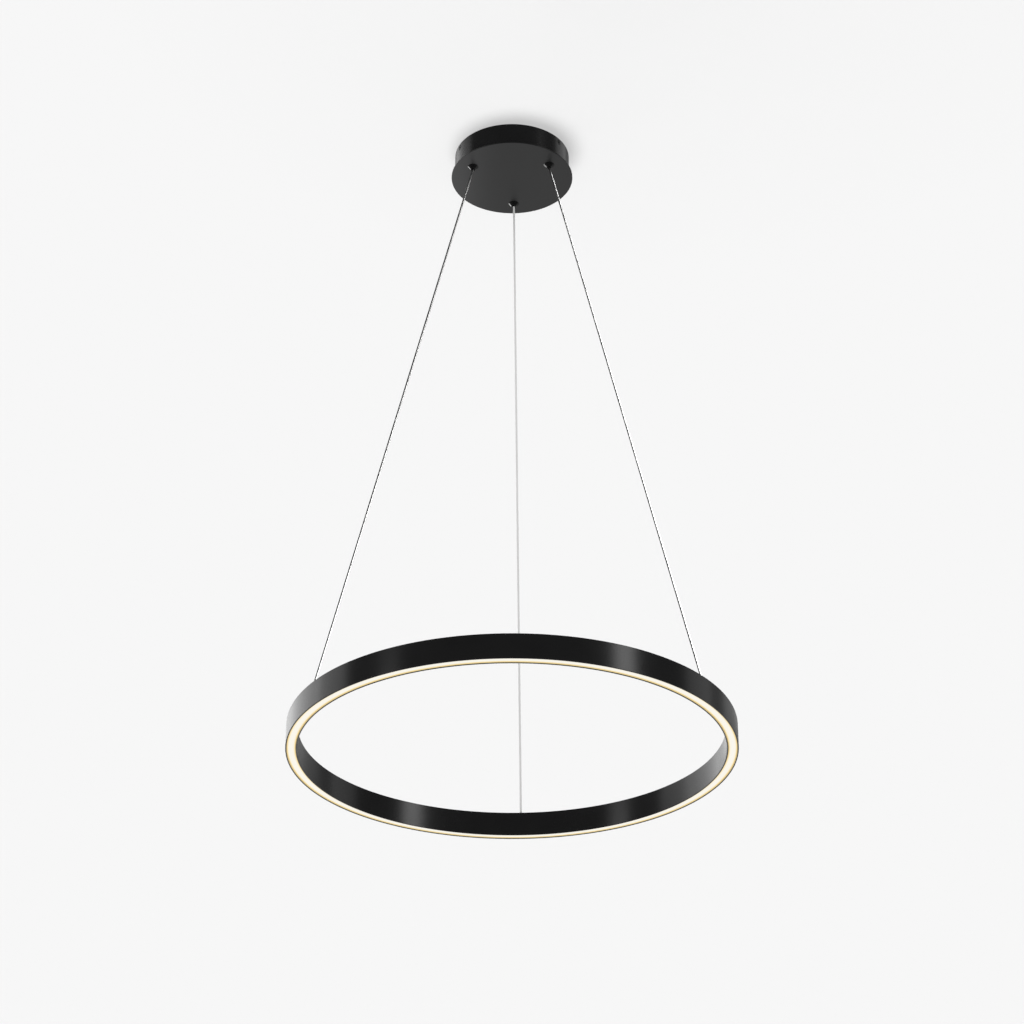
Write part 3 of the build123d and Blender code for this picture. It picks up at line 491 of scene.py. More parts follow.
@dataclass(frozen=True)
class Wound(Finish):
    """Turns of enamelled wire under varnish, in bands along one axis."""

    axis: str = "Y"
    pitch: float = 0.0006

    def sockets(self, graph: Graph) -> Sockets:
        """Values of the winding's sockets."""
        place = graph.place()
        settings = {"wave_type": "BANDS", "bands_direction": self.axis}
        spacing = tau / 20  # of the texture's bands at scale 1
        inputs = {"Vector": place, "Scale": spacing / self.pitch, "Distortion": 0.6, "Detail": 1.0}
        turns = graph.add("ShaderNodeTexWave", settings, inputs, output=1)
        varnish = graph.noise(place, 0.005, 3.0)
        copper = graph.tint(turns, scaled(self.colour, 0.55), self.colour)
        return {
            "Base Color": graph.tint(varnish * 0.4, copper, scaled(self.colour, 0.7)),
            "Roughness": self.roughness + 0.15 * varnish,
            "Normal": graph.bump(turns, 0.0001),
        }


@dataclass(frozen=True)
class Banded(Finish):
    """One colour inside a band and another outside it, such as a chip's lens in its frame.

    The band is of distance from the Z axis, or of height.
    """

    outside: Colour
    low: float
    high: float
    by_distance: bool = True
    soft: float = 0.0001

    def sockets(self, graph: Graph) -> Sockets:
        """Values of the two-part surface's sockets."""
        place = graph.place()
        along = graph.from_axis(place) if self.by_distance else graph.parts(place)[2]
        inside = along.step(self.low - self.soft, self.low) * along.step(self.high + self.soft, self.high)
        grain = graph.noise(place, 0.0005, 3.0)
        colour = graph.tint(inside, self.outside, self.colour)
        return {
            "Base Color": graph.tint(grain * 0.25, colour, scaled(self.colour, 0.6)),
            "Roughness": self.roughness + 0.2 * grain,
            "Normal": graph.bump(grain, 0.000008),
        }


# the ring's coat, with the strip's light painted on the walls beside the strip
COAT = LitCoat("black_powder_coat", (0.0105, 0.0105, 0.0107), 0.20)
# the disc's coat carries a painted highlight that lightens it towards -X
DISC_COAT = PowderCoat("black_disc_coat", (0.0095, 0.0095, 0.0097), 0.40, sheen=(0.055, 0.055, 0.056))
DRUM_COAT = PowderCoat("black_drum_coat", (0.0100, 0.0100, 0.0102), 0.22)
GRIP_COAT = PowderCoat("black_grip_coat", (0.007, 0.007, 0.0072), 0.20, peel_size=0.0006)
SCREW_BLACK = PowderCoat("black_screw", (0.0015, 0.0015, 0.0015), 0.6, specular=0.0, peel_size=0.0004)
OPAL = OpalStrip(
    "opal_strip",
    (0.30, 0.29, 0.26),
    0.45,
    middle=STRIP_MIDDLE,
    half_width=0.006,
    glow=[
        (0.0, (0.7, 0.68, 0.625)),
        (0.52, (0.71, 0.67, 0.575)),
        (0.74, (0.735, 0.6, 0.31)),
        (0.89, (0.7, 0.48, 0.12)),
        (0.95, (0.46, 0.3, 0.06)),
        # the darkest stop is partly painted shade of the channel's lip and partly the legs blocking the light
        (1.0, (0.04, 0.028, 0.01)),
    ],
)
WIRE_STEEL = LaidWire("wire_steel", (0.52, 0.52, 0.515), 0.3)
SPRING_STEEL = Metal("spring_steel", (0.5, 0.5, 0.49), 0.25, line_size=0.0003)
BALL_STEEL = Metal("ball_steel", (0.68, 0.68, 0.67), 0.18, line_size=0.001, stain=0.9)
ALUMINIUM = Metal("aluminium", (0.72, 0.72, 0.73), 0.34, line_stretch=(1.0, 1.0, 0.06))
BRASS = Metal("brass", (0.72, 0.52, 0.22), 0.28, line_stretch=(1.0, 0.08, 1.0))
ZINC = Galvanised("zinc_plate", (0.66, 0.68, 0.7), 0.3)
CABLE_SHEATH = Sheath("pale_sheath", (0.79, 0.79, 0.78), 0.36)
BROWN_LEAD = Sheath("brown_lead", (0.12, 0.05, 0.025), 0.42)
BLUE_LEAD = Sheath("blue_lead", (0.03, 0.11, 0.42), 0.42)
EARTH_LEAD = Sheath("earth_lead", (0.05, 0.3, 0.06), 0.42, stripe=(0.75, 0.62, 0.04))
RED_LEAD = Sheath("red_lead", (0.45, 0.03, 0.02), 0.42)
NYLON = Moulded("pale_nylon", (0.72, 0.71, 0.66), 0.42)
BLACK_NYLON = Moulded("black_nylon", (0.008, 0.008, 0.008), 0.3)
WHITE_CASE = Moulded("white_case", (0.74, 0.74, 0.72), 0.5, texture=0.0005, depth=0.00002)
RUBBER = Moulded("black_rubber", (0.014, 0.014, 0.014), 0.68, texture=0.0004, depth=0.00002)
BOARD = CircuitBoard("green_board", (0.012, 0.11, 0.035), 0.28)
COIL = Wound("wound_core", (0.6, 0.42, 0.06), 0.35)
CHOKE_COIL = Wound("wound_choke", (0.55, 0.2, 0.08), 0.32, axis="X")
# the sleeve's band lies below the part, so the whole sleeve has the outside colour
CAN_SLEEVE = Banded(
    "capacitor_sleeve",
    (0.55, 0.55, 0.55),
    0.35,
    outside=(0.012, 0.012, 0.014),
    low=-5.0,
    high=-4.0,
    by_distance=False,
)
TAPE = Banded("led_tape", (0.78, 0.78, 0.75), 0.45, outside=(0.6, 0.33, 0.12), low=0.2882, high=0.2963)
CHIPS = Banded("led_chip", (0.75, 0.6, 0.12), 0.3, outside=(0.8, 0.8, 0.78), low=0.2912, high=0.2933)


# ---------------------------------------------------------------- shapes
class Shape:
    """A solid in the making: a bmesh and the operators that shape it."""

    def __init__(self, mesh: bpy.types.Mesh | None = None) -> None:
        """Starts empty, or from a mesh."""
        self.work = bmesh.new()
        if mesh is not None:
            self.work.from_mesh(mesh)

    @classmethod
    def turned(cls, outline: Outline, steps: int) -> "Shape":
        """A body of revolution round Z.

        Args:
            outline: (radius, height) points; one that starts on the axis also ends there.
            steps: flats round the full turn.

        Returns:
            The closed shape.
        """
        shape = cls()
        points = [shape.work.verts.new((radius, 0.0, height)) for radius, height in outline]
        runs = list(zip(points, points[1:]))
        if outline[0][0] > 0:
            runs.append((points[-1], points[0]))
        edges = [shape.work.edges.new(run) for run in runs]
        spin = {"cent": (0, 0, 0), "axis": (0, 0, 1), "angle": tau, "steps": steps, "use_merge": True}
        bmesh.ops.spin(shape.work, geom=points + edges, **spin)
        return shape.closed()

    @classmethod
    def prism(cls, outline: Outline, low: float, high: float) -> "Shape":
        """An outline in the XY plane, extruded from one height to another.

        Args:
            outline: (x, y) corners.
            low: height of the base.
            high: height of the top.

        Returns:
            The closed shape.
        """
        shape = cls()
        base = shape.work.faces.new([shape.work.verts.new((x, y, low)) for x, y in outline])
        made = bmesh.ops.extrude_face_region(shape.work, geom=[base])["geom"]
        moved = [part for part in made if isinstance(part, bmesh.types.BMVert)]
        bmesh.ops.translate(shape.work, verts=moved, vec=(0, 0, high - low))
        return shape.closed()

    @classmethod
    def rod(cls, radius: float, low: float, high: float, steps: int = 48) -> "Shape":
        """An upright cylinder on the Z axis."""
        return cls.turned([(0, low), (radius, low), (radius, high), (0, high)], steps)

    @classmethod
    def hexagon(cls, corner_radius: float, low: float, high: float) -> "Shape":
        """An upright hexagonal prism on the Z axis."""
        corners = [(corner_radius * cos(k * pi / 3), corner_radius * sin(k * pi / 3)) for k in range(6)]
        return cls.prism(corners, low, high)

    def closed(self) -> "Shape":
        """Merges doubles and turns every face outwards."""
        bmesh.ops.remove_doubles(self.work, verts=self.work.verts, dist=1e-7)
        bmesh.ops.recalc_face_normals(self.work, faces=self.work.faces)
        return self

    def rounded(self, corners: Outline, radius: float, segments: int = 3) -> "Shape":
        """Rounds the circular edges through some corners of a turned shape.

        Args:
            corners: (radius, height) of each edge.
            radius: of the rounding.
            segments: flats across it.

        Returns:
            This shape.
        """
        near = 0.00002

        def passes(vertex: bmesh.types.BMVert, corner: tuple[float, float]) -> bool:
            """Whether a vertex lies on the corner's circle."""
            sideways = abs(hypot(vertex.co.x, vertex.co.y) - corner[0])
            return max(sideways, abs(vertex.co.z - corner[1])) < near

        edges = [
            edge
            for edge in self.work.edges
            if any(all(passes(vertex, corner) for vertex in edge.verts) for corner in corners)
        ]
        how = {"affect": "EDGES", "segments": segments, "profile": 0.5, "material": -1}
        bmesh.ops.bevel(self.work, geom=edges, offset=radius, **how)
        return self

    def moved(self, place: Matrix) -> "Shape":
        """Moves this shape."""
        bmesh.ops.transform(self.work, matrix=place, verts=self.work.verts)
        return self

    def with_copies(self, places: Iterable[Matrix]) -> "Shape":
        """This shape repeated at each place, in one new shape."""
        kept = self._mesh("repeated")
        group = Shape()
        for place in places:
            copy = kept.copy()
            copy.transform(place)
            group.work.from_mesh(copy)
            bpy.data.meshes.remove(copy)
        bpy.data.meshes.remove(kept)
        return group

    def joined(self, *others: "Shape") -> "Shape":
        """This shape and the others side by side in one mesh."""
        for other in others:
            mesh = other._mesh("joined")
            self.work.from_mesh(mesh)
            bpy.data.meshes.remove(mesh)
        return self

    def cut(self, tool: "Shape") -> "Shape":
        """This shape less the tool's."""
        return self._combined(tool, "DIFFERENCE")

    def fused(self, tool: "Shape") -> "Shape":
        """This shape and the tool's as one solid."""
        return self._combined(tool, "UNION")

    def _combined(self, tool: "Shape", how: str) -> "Shape":
        """Result of a Boolean modifier, applied.

        Args:
            tool: the other shape.
            how: the modifier's operation.

        Returns:
            A new shape.
        """
        stock = put_in_scene("stock", self._mesh("stock"))
        cutter = put_in_scene("cutter", tool._mesh("cutter"))
        boolean = stock.modifiers.new("combine", "BOOLEAN")
        boolean.operation = how
        boolean.solver = "EXACT"
        boolean.object = cutter
        result = bpy.data.meshes.new_from_object(stock.evaluated_get(bpy.context.evaluated_depsgraph_get()))
        shape = Shape(result)
        for used in (stock, cutter):
            bpy.data.meshes.remove(used.data)
        bpy.data.meshes.remove(result)
        return shape

    def _mesh(self, name: str) -> bpy.types.Mesh:
        """The shape as a mesh; the bmesh is freed."""
        mesh = bpy.data.meshes.new(name)
        self.work.to_mesh(mesh)
        self.work.free()
        return mesh

    def piece(self, name: str, sharp: float = 32.0) -> bpy.types.Object:
        """Turns the shape into a piece of the scene.

        Args:
            name: the piece's name.
            sharp: edges that turn by more than this many degrees stay sharp.

        Returns:
            The new object.
        """
        mesh = self._mesh(name)
        mesh.shade_smooth()
        mesh.set_sharp_from_angle(angle=radians(sharp))
        made = put_in_scene(name, mesh)
        made.modifiers.new("even_normals", "WEIGHTED_NORMAL").keep_sharp = True
        return made


def put_in_scene(name: str, data: bpy.types.ID) -> bpy.types.Object:
    """Adds an object at the origin.

    Args:
        name: the object's name.
        data: its mesh, curve, light or camera.

    Returns:
        The new object.
    """
    made = bpy.data.objects.new(name, data)
    bpy.context.scene.collection.objects.link(made)
    return made


def seat(piece: bpy.types.Object, body: str, slot: str, finish: Finish, *nodes: str) -> bpy.types.Object:
    """Dresses a new piece and fixes it to the frame.

    Args:
        piece: the new object.
        body: CAD body that it rides on.
        slot: material slot that its finish belongs to; not used.
        finish: its finish.
        nodes: CAD nodes that it stands for.

    Returns:
        The piece.
    """
    finish.dress(piece)
    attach(piece, body)
    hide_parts(*nodes)
    log.info("%s on %s, %d faces", piece.name, body, len(piece.data.polygons))
    return piece


class Anchor(Enum):
    """The three suspension points, by their angle round Z in degrees."""

    LEFT = 207.5
    RIGHT = 327.5
    CABLE = 87.5

    @property
    def side(self) -> str:
        """Word for this point in names."""
        return self.name.lower()

    @property
    def turn(self) -> Matrix:
        """Turn from the X axis to this point."""
        return Matrix.Rotation(radians(self.value), 4, "Z")

    @property
    def post_turn(self) -> Matrix:
        """Turn from the X axis to the post after this point."""
        return Matrix.Rotation(radians(self.value + POST_AFTER), 4, "Z")

    def at(self, radius: float, height: float, side: float = 0.0) -> Vector:
        """A point out along this angle, with an offset square to it."""
        return self.turn @ Vector((radius, side, height))


def out(radius: float, side: float = 0.0, height: float = 0.0) -> Matrix:
    """Move out along X, sideways along Y and up."""
    return Matrix.Translation((radius, side, height))


def both_sides(middle: float, half: Outline) -> Outline:
    """An outline from its outer half, as (distance from the middle radius, height), and the mirror image."""
    mirrored = [(middle - distance, height) for distance, height in reversed(half)]
    return [(middle + distance, height) for distance, height in half] + mirrored


def travel_of(joint: str) -> float:
    """How far a joint of the frame moves, in metres."""
    return next(row for row in frame["joints"] if row["name"] == joint)["range_m"][1]


LAID_OUT = Matrix.Rotation(pi / 2, 4, "Y")
GRIP_HEADS = ("grip_head_left", "grip_head_right", "cord_head")


# ---------------------------------------------------------------- fasteners
@dataclass
class SocketScrew:
    """Screw with a hexagon socket, its head's face at z 0 and its tip below."""

    head_radius: float
    head_height: float
    shank_radius: float
    length: float
    socket_radius: float
    socket_depth: float = 0.0008
    countersunk: bool = False
    head_edge: float = 0.00015
    point: float = 0.0004
    point_share: float = 0.75

    def shape(self) -> Shape:
        """One screw along Z."""
        under = self.shank_radius if self.countersunk else self.head_radius
        tip = self.shank_radius * self.point_share
        outline = [
            (0, 0),
            (self.head_radius, 0),
            (under, -self.head_height),
            (self.shank_radius, -self.head_height),
            (self.shank_radius, -self.length + self.point),
            (tip, -self.length),
            (0, -self.length),
        ]
        if self.countersunk:
            del outline[3]
        body = Shape.turned(outline, 64).rounded([(self.head_radius, 0)], self.head_edge, 2)
        return body.cut(Shape.hexagon(self.socket_radius, -self.socket_depth, self.socket_depth))


# ---------------------------------------------------------------- ring
@dataclass
class Ring:
    """The black channel, the opal strip in its open side and the screws in its top."""

    inner: float = 0.2845
    wall: float = 0.0016
    web: float = 0.002
    edge: float = 0.0004
    lip_edge: float = 0.00012
    steps: int = 512
    recess: float = 0.0015
    strip_thickness: float = 0.0016
    strip_play: float = 0.00015
    strip_edge: float = 0.0002
    leg_height: float = 0.0065
    leg: float = 0.001
    bead_above_face: float = 0.0036
    bead_height: float = 0.0012
    bead_depth: float = 0.0003
    pivot_radius: float = 0.2915
    pivot_depth: float = 0.0065
    cord_radius: float = 0.0015
    slot_side_play: float = 0.0005
    slot_inner_play: float = 0.0002
    head_radius: float = 0.0028
    head_height: float = 0.0014
    thread_radius: float = 0.0015
    screw_length: float = 0.006
    socket_radius: float = 0.00115
    screw_offset: float = 0.008
    thread_play: float = 0.00005
    hair: float = 0.00001
    outer: float = field(init=False)
    bottom: float = field(init=False)
    top: float = field(init=False)

    def __post_init__(self) -> None:
        """Reads the ring's radius and heights from the frame."""
        low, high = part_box("ring_channel")
        self.outer = min(high.x, high.y, -low.x, -low.y) - self.hair
        self.bottom, self.top = low.z, high.z

    def build(self) -> None:
        """Builds and seats every piece of the ring."""
        seat(self.channel().piece("channel"), "ring", "ring_black", COAT, "ring_channel")
        seat(self.strip().piece("lit_strip"), "ring", "opal", OPAL, "diffuser")
        screws = self.screw().shape().with_copies(self.screw_places())
        seat(screws.piece("top_screws"), "ring", "black_screw", SCREW_BLACK, "ring_top_screws")

    def span(self) -> tuple[float, float]:
        """Middle radius of the channel, and half of its width."""
        return (self.inner + self.outer) / 2, (self.outer - self.inner) / 2

    def groove(self) -> tuple[float, float, float]:
        """Low and high height of the strip's groove, and its depth."""
        low = self.bottom + self.recess + self.bead_above_face - self.strip_play
        return low, low + self.bead_height + 2 * self.strip_play, self.bead_depth + self.strip_play

    def channel(self) -> Shape:
        """Channel open below, with wire slots and countersinks through its top web."""
        low, high, deep = self.groove()
        ceiling = self.top - self.web
        middle, wide = self.span()
        gap = wide - self.wall
        half = [
            (wide, self.top),
            (wide, self.bottom),
            (gap, self.bottom),
            (gap, low),
            (gap + deep, low),
            (gap + deep, high),
            (gap, high),
            (gap, ceiling),
        ]
        shell = Shape.turned(both_sides(middle, half), self.steps)
        outside = [(radius, z) for radius in (self.inner, self.outer) for z in (self.bottom, self.top)]
        shell.rounded([(middle - gap, self.bottom), (middle + gap, self.bottom)], self.lip_edge, 2)
        shell.rounded(outside, self.edge, 4)
        return shell.cut(self.wire_slots()).cut(self.countersinks())

    def wire_slots(self) -> Shape:
        """Slots that the wires and the cable swing in as the ring is raised."""
        half = self.cord_radius + self.slot_side_play
        inner = self.inner + self.wall + self.slot_inner_play
        pivot = self.top - self.pivot_depth
        above = self.top + self.web
        outline = [
            (self.pivot_radius - half, pivot),
            (self.pivot_radius + half, pivot),
            (self.pivot_radius + half, above),
            (inner, above),
            (inner, self.top),
        ]
        slot = Shape.prism(outline, -half, half).moved(Matrix.Rotation(pi / 2, 4, "X"))
        return slot.with_copies([anchor.turn for anchor in Anchor])

    def countersinks(self) -> Shape:
        """Space for each top screw's head and shank."""
        head = self.head_radius + self.thread_play
        shank = self.thread_radius + self.thread_play
        outline = [(0, self.web), (head, self.web), (head, 0), (shank, -self.head_height)]
        outline += [(shank, -2 * self.web), (0, -2 * self.web)]
        return Shape.turned(outline, 64).with_copies(self.screw_places())

    def screw(self) -> SocketScrew:
        """The countersunk screw used in the top web."""
        sizes = (self.head_radius, self.head_height, self.thread_radius, self.screw_length)
        return SocketScrew(*sizes, self.socket_radius, countersunk=True)

    def screw_places(self) -> list[Matrix]:
        """Places of the nine top screws: two at each anchor and one at each post."""
        middle = self.span()[0]
        sides = (-self.screw_offset, self.screw_offset)
        pairs = [anchor.turn @ out(middle, side, self.top) for anchor in Anchor for side in sides]
        return pairs + [anchor.post_turn @ out(middle, 0.0, self.top) for anchor in Anchor]

    def strip(self) -> Shape:
        """Opal strip with two snap-in legs."""
        middle, wide = self.span()
        reach = wide - self.wall - self.strip_play
        face = self.bottom + self.recess
        back = face + self.strip_thickness
        top = face + self.leg_height
        bead = face + self.bead_above_face
        bead_top = bead + self.bead_height
        half = [
            (reach, face),
            (reach, bead),
            (reach + self.bead_depth, bead + self.bead_depth),
            (reach + self.bead_depth, bead_top),
            (reach, bead_top),
            (reach, top),
            (reach - self.leg, top),
            (reach - self.leg, back),
        ]
        edges = [(middle - reach, face), (middle + reach, face)]
        return Shape.turned(both_sides(middle, half), self.steps).rounded(edges, self.strip_edge, 2)


# ---------------------------------------------------------------- canopy
@dataclass
class Canopy:
    """The drum against the ceiling, the disc that closes it and the drum's side screws."""

    drum_radius: float = 0.085
    drum_wall: float = 0.0012
    drum_edge: float = 0.0002
    ceiling_gap: float = 0.0005
    flange: float = 0.009
    side_hole: float = 0.0039
    side_hole_reach: tuple[float, float] = (0.078, 0.09)
    side_head_height: float = 0.0013
    side_drop: float = 0.0073
    side_turn: float = -2.8
    plate_radius: float = 0.09
    plate_thickness: float = 0.002
    plate_edge: float = 0.0004
    base_radius: float = 0.0834
    grip_radius: float = 0.065
    grip_hole: float = 0.0052
    stud_radius: float = 0.002
    stud_play: float = 0.0002
    stud_root: float = 0.0005
    stud_inset: float = 0.0045
    stud_length: float = 0.0059
    steps: int = 256
    bottom: float = field(init=False)

    def __post_init__(self) -> None:
        """Reads the disc's underside from the frame."""
        self.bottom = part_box("canopy_plate")[0].z

    def build(self) -> None:
        """Builds and seats the canopy's shell."""
        seat(self.drum().piece("drum_shell"), "canopy", "drum_black", DRUM_COAT, "canopy_drum")
        seat(self.plate().piece("closing_disc"), "canopy", "canopy_black", DISC_COAT, "canopy_plate")
        screw = SocketScrew(
            head_radius=0.0035,
            head_height=self.side_head_height,
            shank_radius=self.stud_radius,
            length=0.0098,
            socket_radius=0.0017,
            socket_depth=0.0011,
        )
        face = out(self.base_radius + self.side_head_height, 0.0, -self.side_drop) @ LAID_OUT
        screws = screw.shape().with_copies([turn @ face for turn in self.side_turns()])
        seat(screws.piece("rim_screws"), "canopy", "black_screw", SCREW_BLACK, "side_screws")

    def drum(self) -> Shape:
        """Rolled wall with an inward flange, side holes and stud holes."""
        low = self.bottom + self.plate_thickness
        inner = self.drum_radius - self.drum_wall
        lip = inner - self.flange
        shell = Shape.turned(
            [
                (inner, -self.ceiling_gap),
                (self.drum_radius, -self.ceiling_gap),
                (self.drum_radius, low),
                (lip, low),
                (lip, low + self.drum_wall),
                (inner, low + self.drum_wall),
            ],
            self.steps,
        )
        shell.rounded([(self.drum_radius, -self.ceiling_gap), (self.drum_radius, low)], self.drum_edge, 3)
        side = Shape.rod(self.side_hole, *self.side_hole_reach).moved(out(self.side_drop))
        holes = side.moved(LAID_OUT).with_copies(self.side_turns())
        stud = Shape.rod(self.stud_radius + self.stud_play, low - PAST, low + 3 * PAST)
        return shell.cut(holes.joined(stud.with_copies(self.stud_places())))

    def side_turns(self) -> list[Matrix]:
        """Turns from the X axis to the three side screws."""
        offset = Matrix.Rotation(radians(self.side_turn), 4, "Z")
        return [anchor.turn @ offset for anchor in Anchor]

    def stud_places(self) -> list[Matrix]:
        """Places of the disc's three studs."""
        radius = self.drum_radius - self.drum_wall - self.stud_inset
        return [anchor.post_turn @ out(radius) for anchor in Anchor]

    def plate(self) -> Shape:
        """Disc with rounded edges, three grip holes and three studs."""
        low, high = self.bottom, self.bottom + self.plate_thickness
        disc = Shape.rod(self.plate_radius, low, high, self.steps)
        disc.rounded([(self.plate_radius, low), (self.plate_radius, high)], self.plate_edge, 4)
        hole = Shape.rod(self.grip_hole, low - PAST, high + PAST, 64)
        holes = hole.with_copies([anchor.turn @ out(self.grip_radius) for anchor in Anchor])
        stud = Shape.rod(self.stud_radius, high - self.stud_root, high + self.stud_length)
        return disc.cut(holes).fused(stud.with_copies(self.stud_places()))


# ---------------------------------------------------------------- grippers
@dataclass
class Gripper:
    """A wire gripper: threaded body with a cone head, and the release sleeve in its tip."""

    anchor: Anchor
    radius: float = 0.065
    base: float = -0.038
    head_radius: float = 0.008
    head_height: float = 0.0045
    tip_radius: float = 0.004
    tip_edge: float = 0.0005
    rim_edge: float = 0.0002
    barrel: float = 0.005
    barrel_height: float = 0.018
    bore: float = 0.00308
    cavity: float = 0.0043
    taper_start: float = 0.002
    taper_end: float = 0.008
    sleeve: float = 0.003
    sleeve_bore: float = 0.0018
    mouth: float = 0.0027
    mouth_depth: float = 0.003
    projection: float = 0.0015
    flange: float = 0.0037
    flange_bottom: float = 0.0062
    flange_top: float = 0.0072
    window: float = 0.0009
    window_reach: float = 0.0045
    window_height: float = 0.0032
    spring_wire: float = 0.00025
    spring_radius: float = 0.0033
    spring_turns: int = 4
    spring_low: float = 0.0076
    spring_high: float = 0.0146
    steps: int = 96

    @property
    def place(self) -> Matrix:
        """Where the gripper stands on the disc's underside."""
        return self.anchor.turn @ out(self.radius, 0.0, self.base)

    def build(self) -> None:
        """Builds and seats the body, the release sleeve and its spring."""
        side = self.anchor.side
        body = self.head().moved(self.place).piece(f"grip_head_{side}")
        seat(body, "canopy", "gripper_black", GRIP_COAT, f"gripper_body_{side}")
        sleeve = self.release().moved(self.place).piece(f"release_sleeve_{side}")
        seat(sleeve, f"release_{side}", "gripper_black", GRIP_COAT, f"gripper_plunger_{side}")
        spring = self.spring().moved(self.place).piece(f"release_spring_{side}")
        seat(spring, "canopy", "spring_steel", SPRING_STEEL, f"gripper_spring_{side}")
        squeezed = self.spring_high - self.spring_low + 2 * self.spring_wire
        keep = 1 - travel_of(f"release_{side}_push") / squeezed
        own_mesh(spring)

    def head(self) -> Shape:
        """Cone head and barrel, with the stepped bore."""
        shape = Shape.turned(
            [
                (self.bore, -self.head_height),
                (self.tip_radius, -self.head_height),
                (self.head_radius, 0),
                (self.barrel, 0),
                (self.barrel, self.barrel_height),
                (self.cavity, self.barrel_height),
                (self.cavity, self.taper_end),
                (self.bore, self.taper_start),
            ],
            self.steps,
        )
        shape.rounded([(self.tip_radius, -self.head_height)], self.tip_edge, 3)
        return shape.rounded([(self.head_radius, 0)], self.rim_edge, 2)

    def bushing(self, shoulder: Outline) -> Shape:
        """Turned sleeve with a flared mouth, wider from its shoulder up.

        Args:
            shoulder: (radius, height) points from the sleeve's wall to its top.

        Returns:
            The sleeve.
        """
        tip = -self.head_height - self.projection
        bore = [(self.sleeve_bore, shoulder[-1][1]), (self.sleeve_bore, tip + self.mouth_depth)]
        shape = Shape.turned([(self.mouth, tip), (self.sleeve, tip), *shoulder, *bore], self.steps)
        return shape.rounded([(self.sleeve, tip)], self.rim_edge, 2)

    def release(self) -> Shape:
        """Sleeve with a flange for the spring and three ball windows."""
        low, high = self.flange_bottom, self.flange_top
        shape = self.bushing([(self.sleeve, low), (self.flange, low), (self.flange, high)])
        window = Shape.rod(self.window, 0.0, self.window_reach, 32)
        windows = window.moved(out(-self.window_height)).moved(LAID_OUT)
        return shape.cut(windows.with_copies([Matrix.Rotation(k * tau / 3, 4, "Z") for k in range(3)]))

    def spring(self) -> Shape:
        """Helical compression spring."""
        shape = Shape()
        upright = Matrix.Rotation(pi / 2, 4, "X")
        place = out(self.spring_radius, 0.0, self.spring_low) @ upright
        section = {"cap_ends": True, "segments": 12, "radius": self.spring_wire, "matrix": place}
        circle = bmesh.ops.create_circle(shape.work, **section)
        steps = 48 * self.spring_turns
        rise = (self.spring_high - self.spring_low) / steps
        geometry = circle["verts"] + shape.work.edges[:] + shape.work.faces[:]
        turn = {"cent": (0, 0, 0), "axis": (0, 0, 1), "dvec": (0, 0, rise), "angle": tau * self.spring_turns}
        bmesh.ops.spin(shape.work, geom=geometry, steps=steps, use_merge=False, **turn)
        return shape.closed()


@dataclass
class CordGrip(Gripper):
    """The cable's grip: the same cone head, with a nylon sleeve squeezed round the cable."""

    anchor: Anchor = Anchor.CABLE
    barrel_height: float = 0.014
    sleeve_bore: float = 0.00155
    sleeve_top: float = 0.011

    def build(self) -> None:
        """Builds and seats the body and its sleeve."""
        body = self.head().moved(self.place).piece("cord_head")
        seat(body, "canopy", "gripper_black", GRIP_COAT, "cord_grip_body")
        sleeve = self.release().moved(self.place).piece("cord_sleeve")
        seat(sleeve, "canopy", "nylon", BLACK_NYLON, "cord_grip_sleeve")

    def release(self) -> Shape:
        """Sleeve with a tapered shoulder."""
        low, high, top = self.taper_start, self.flange_bottom, self.sleeve_top
        return self.bushing([(self.sleeve, low), (self.flange, high), (self.flange, top)])


# ---------------------------------------------------------------- cords
class FarEnd(Enum):
    """What a cord ends in."""

    OBJECT = "object"
    BARE = "bare"


class Lay(Enum):
    """How a cord lies."""

    TAUT = "taut"
    LOOSE = "loose"


@dataclass(frozen=True)
class Make:
    """What a cord is made of."""

    diameter: float
    slot: str
    finish: Finish


WIRE = Make(0.003, "steel_wire", WIRE_STEEL)
CABLE = Make(0.003, "pale_cable", CABLE_SHEATH)
LIVE = Make(0.0024, "lead_brown", BROWN_LEAD)
NEUTRAL = Make(0.0024, "lead_blue", BLUE_LEAD)
EARTH = Make(0.0024, "lead_green", EARTH_LEAD)
TAPE_LEAD = Make(0.0012, "lead_red", RED_LEAD)


@dataclass
class Cord:
    """A wire, cable or lead: a round tube on one smooth spline."""

    name: str
    route: Sequence[Vector]
    make: Make
    length: float
    nodes: Sequence[str]
    body: str = "canopy"
    far_end: FarEnd = FarEnd.OBJECT
    lay: Lay = Lay.LOOSE
    free: bool = True

    def spline(self) -> bpy.types.Curve:
        """The route as a smooth open spline."""
        curve = bpy.data.curves.new(self.name, "CURVE")
        curve.dimensions = "3D"
        line = curve.splines.new("NURBS")
        line.points.add(len(self.route) - 1)
        for point, place in zip(line.points, self.route):
            point.co = (*place, 1.0)
        line.order_u = 3
        line.use_endpoint_u = True
        line.resolution_u = 16
        return curve

    def meshed(self, curve: bpy.types.Curve) -> bpy.types.Mesh:
        """A curve as a mesh; the curve is removed."""
        mesh = bpy.data.meshes.new_from_object(bpy.data.objects.new("carrier", curve))
        bpy.data.curves.remove(curve)
        return mesh

    def line(self) -> list[tuple[float, float, float]]:
        """Points along the spline."""
        mesh = self.meshed(self.spline())
        points = [tuple(vertex.co) for vertex in mesh.vertices]
        bpy.data.meshes.remove(mesh)
        return points

    def tube(self) -> bpy.types.Mesh:
        """Round tube along the spline, closed at both ends."""
        curve = self.spline()
        curve.bevel_depth = self.make.diameter / 2
        curve.bevel_resolution = 10
        curve.use_fill_caps = True
        mesh = self.meshed(curve)
        mesh.shade_smooth()
        mesh.set_sharp_from_angle(angle=radians(60))
        return mesh

    def build(self) -> bpy.types.Object:
        made = put_in_scene(self.name, self.tube())
        seat(made, self.body, self.make.slot, self.make.finish, *self.nodes)
        if self.free:
            self.line()
        return made


